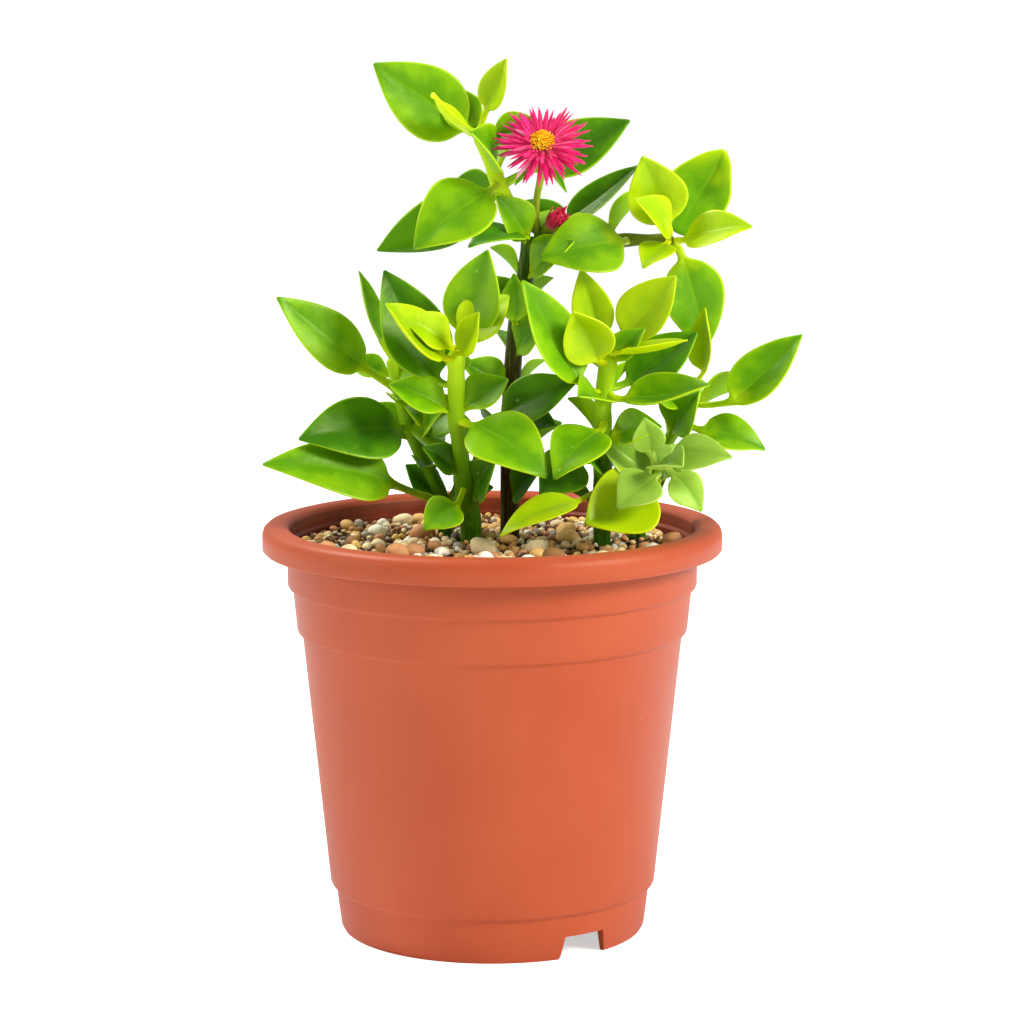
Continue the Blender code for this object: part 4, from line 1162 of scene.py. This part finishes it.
# every pollen bag is about half a millimetre, so the tint changes at that size
speckle = add_node(tree, "ShaderNodeTexNoise", {"Vector": where, "Scale": 1500.0, "Detail": 2.0}).outputs["Fac"]
colour = add_node(tree, "ShaderNodeValToRGB", {"Fac": speckle}, stops=[(0.3, "#E08A00"), (0.5, "#F5B400"),
                                                                       (0.7, "#FFDE3A")]).outputs["Color"]
tree.links.new(colour, shader.inputs["Base Color"])
shader.inputs["Roughness"].default_value = 0.7
shader.inputs["Specular IOR Level"].default_value = 0.2
grains = add_node(tree, "ShaderNodeBump", {"Height": speckle, "Strength": 0.5, "Distance": 0.1 * MM})
tree.links.new(grains.outputs["Normal"], shader.inputs["Normal"])
POLLEN = material

STAMENS = 110
STAMEN_DOME = 2.75
draw = random.Random(7)
bm = bmesh.new()
for count in range(STAMENS):
    share = math.sqrt((count + 0.5) / STAMENS)
    angle = count * GOLDEN_ANGLE
    way = whorl_side * math.cos(angle) + whorl_rise * math.sin(angle)
    foot = whorl_centre + way * (share * 1.6 * MM)
    head = (whorl_centre + way * (share * STAMEN_DOME * MM)
            + whorl_face * ((2.9 - 1.5 * share ** 2 + draw.uniform(-0.25, 0.25)) * MM))
    turn = (head - foot).to_track_quat("Z", "Y")
    thread = bmesh.ops.create_cone(bm, cap_ends=True, segments=4, radius1=0.14 * MM, radius2=0.10 * MM,
                                   depth=(head - foot).length)["verts"]
    bag = bmesh.ops.create_icosphere(bm, subdivisions=1, radius=1.0)["verts"]
    for vert in thread:
        vert.co = (foot + head) / 2 + turn @ vert.co
    for vert in bag:
        vert.co = head + turn @ Vector((vert.co.x * 0.30, vert.co.y * 0.26, vert.co.z * 0.46)) * MM
add_piece("stamens", bm, POLLEN, ["flower_disc"])
print("stamens:", STAMENS)

# %% [markdown]
# Behind the petals sits the fleshy green cup that carried them as a bud, with two long sepals that hang beside the
# stalk. The cup is a spun profile; the sepals are leaves by another name, so they are planned like the others.

# %% The flower's cup and sepals
def spun_about(bm, profile, centre, axis, sides=20):
    """Spins (radius, height) pairs in millimetres about an axis that starts at centre."""
    turn = axis.to_track_quat("Z", "Y")
    line = [bm.verts.new(centre + turn @ Vector((radius * MM, 0.0, height * MM))) for radius, height in profile]
    edges = [bm.edges.new(pair) for pair in zip(line, line[1:])]
    bmesh.ops.spin(bm, geom=line + edges, cent=centre, axis=axis, dvec=(0, 0, 0), angle=math.tau, steps=sides,
                   use_merge=True)
    bmesh.ops.remove_doubles(bm, verts=bm.verts, dist=0.01 * MM)


cup_foot = whorl_centre - whorl_face * 3.4 * MM
bm = bmesh.new()
spun_about(bm, [(0.0, 0.0), (0.8, 0.1), (1.5, 0.9), (2.1, 2.0), (2.3, 2.9), (1.7, 3.4), (0.0, 3.5)],
           cup_foot, whorl_face)
bmesh.ops.recalc_face_normals(bm, faces=bm.faces)
cup = add_piece("flower_cup", bm, GREEN_SKIN)
soften(cup)
for name, reach, width in [("sepal_left", (-5.5, 2.0, -6.5), 1.7), ("sepal_right", (5.0, 1.5, -8.0), 1.7)]:
    reach = Vector(reach) * MM
    foot = cup_foot + reach.normalized() * 1.0 * MM + whorl_face * 0.8 * MM
    ribs, side, up = planned_ribs(foot, reach, width * MM, Vector((0.0, -1.0, 0.3)), bow=0.08)
    grow_leaf(name, ribs, side, up, "leaf_fresh", 0.9)
print("flower cup and sepals done")

# %% [markdown]
# The bud is still shut: a slim green cup, and out of it the tips of the crimson petals, of uneven length.

# %% The bud
bud_centre, (bud_way, *_) = main_axes("flower_bud")
if bud_way.z < 0:
    bud_way.negate()
bm = bmesh.new()
spun_about(bm, [(0.0, -5.0), (0.7, -4.9), (1.2, -4.0), (1.7, -2.6), (1.9, -1.2), (1.5, -0.2), (0.0, 0.0)],
           bud_centre, bud_way)
bmesh.ops.recalc_face_normals(bm, faces=bm.faces)
bud_cup = add_piece("bud_cup", bm, OLIVE_SKIN)
soften(bud_cup)

BUD_ROWS = [(16, 2.2, 4.0), (13, 1.6, 4.9), (9, 0.9, 5.4)]      # petals, ring radius, length in millimetres
draw = random.Random(19)
turn = bud_way.to_track_quat("Z", "Y")
bm = bmesh.new()
bm.verts.layers.float.new("along")
bm.verts.layers.float.new("tint")
bmesh.ops.create_uvsphere(bm, u_segments=16, v_segments=10, radius=1.0)
for vert in bm.verts:
    vert.co = bud_centre + turn @ Vector((vert.co.x * 1.9, vert.co.y * 1.9, vert.co.z * 2.3 + 0.2)) * MM
for petals, ring, length in BUD_ROWS:
    for count in range(petals):
        angle = math.tau * (count + draw.uniform(-0.3, 0.3)) / petals
        way = turn @ Vector((math.cos(angle), math.sin(angle), 0.0))
        foot = bud_centre + way * (ring * 0.75 * MM) - bud_way * 1.4 * MM
        lean = math.radians(draw.uniform(4.0, 16.0))
        onward = bud_way * math.cos(lean) + way * math.sin(lean)
        up = bud_way * math.sin(lean) - way * math.cos(lean)
        add_ray(bm, foot, onward, up, length * draw.uniform(0.8, 1.1) * MM, 1.3 * MM, 0.04, draw.uniform(0.0, 0.6))
bmesh.ops.recalc_face_normals(bm, faces=bm.faces)
bud_tips = add_piece("bud_petals", bm, BUD_SILK, ["flower_bud"])
film = bud_tips.modifiers.new("film", "SOLIDIFY")
film.thickness = 0.16 * MM
film.offset = 0.0
print("bud petals:", sum(row[0] for row in BUD_ROWS))

# %% [markdown]
# The finished plant's size is printed last; the solids' box is printed at the top.

# %% Size and finish
low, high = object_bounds()
print("visual box in mm:", [round(x / MM, 1) for x in (*low, *high)])
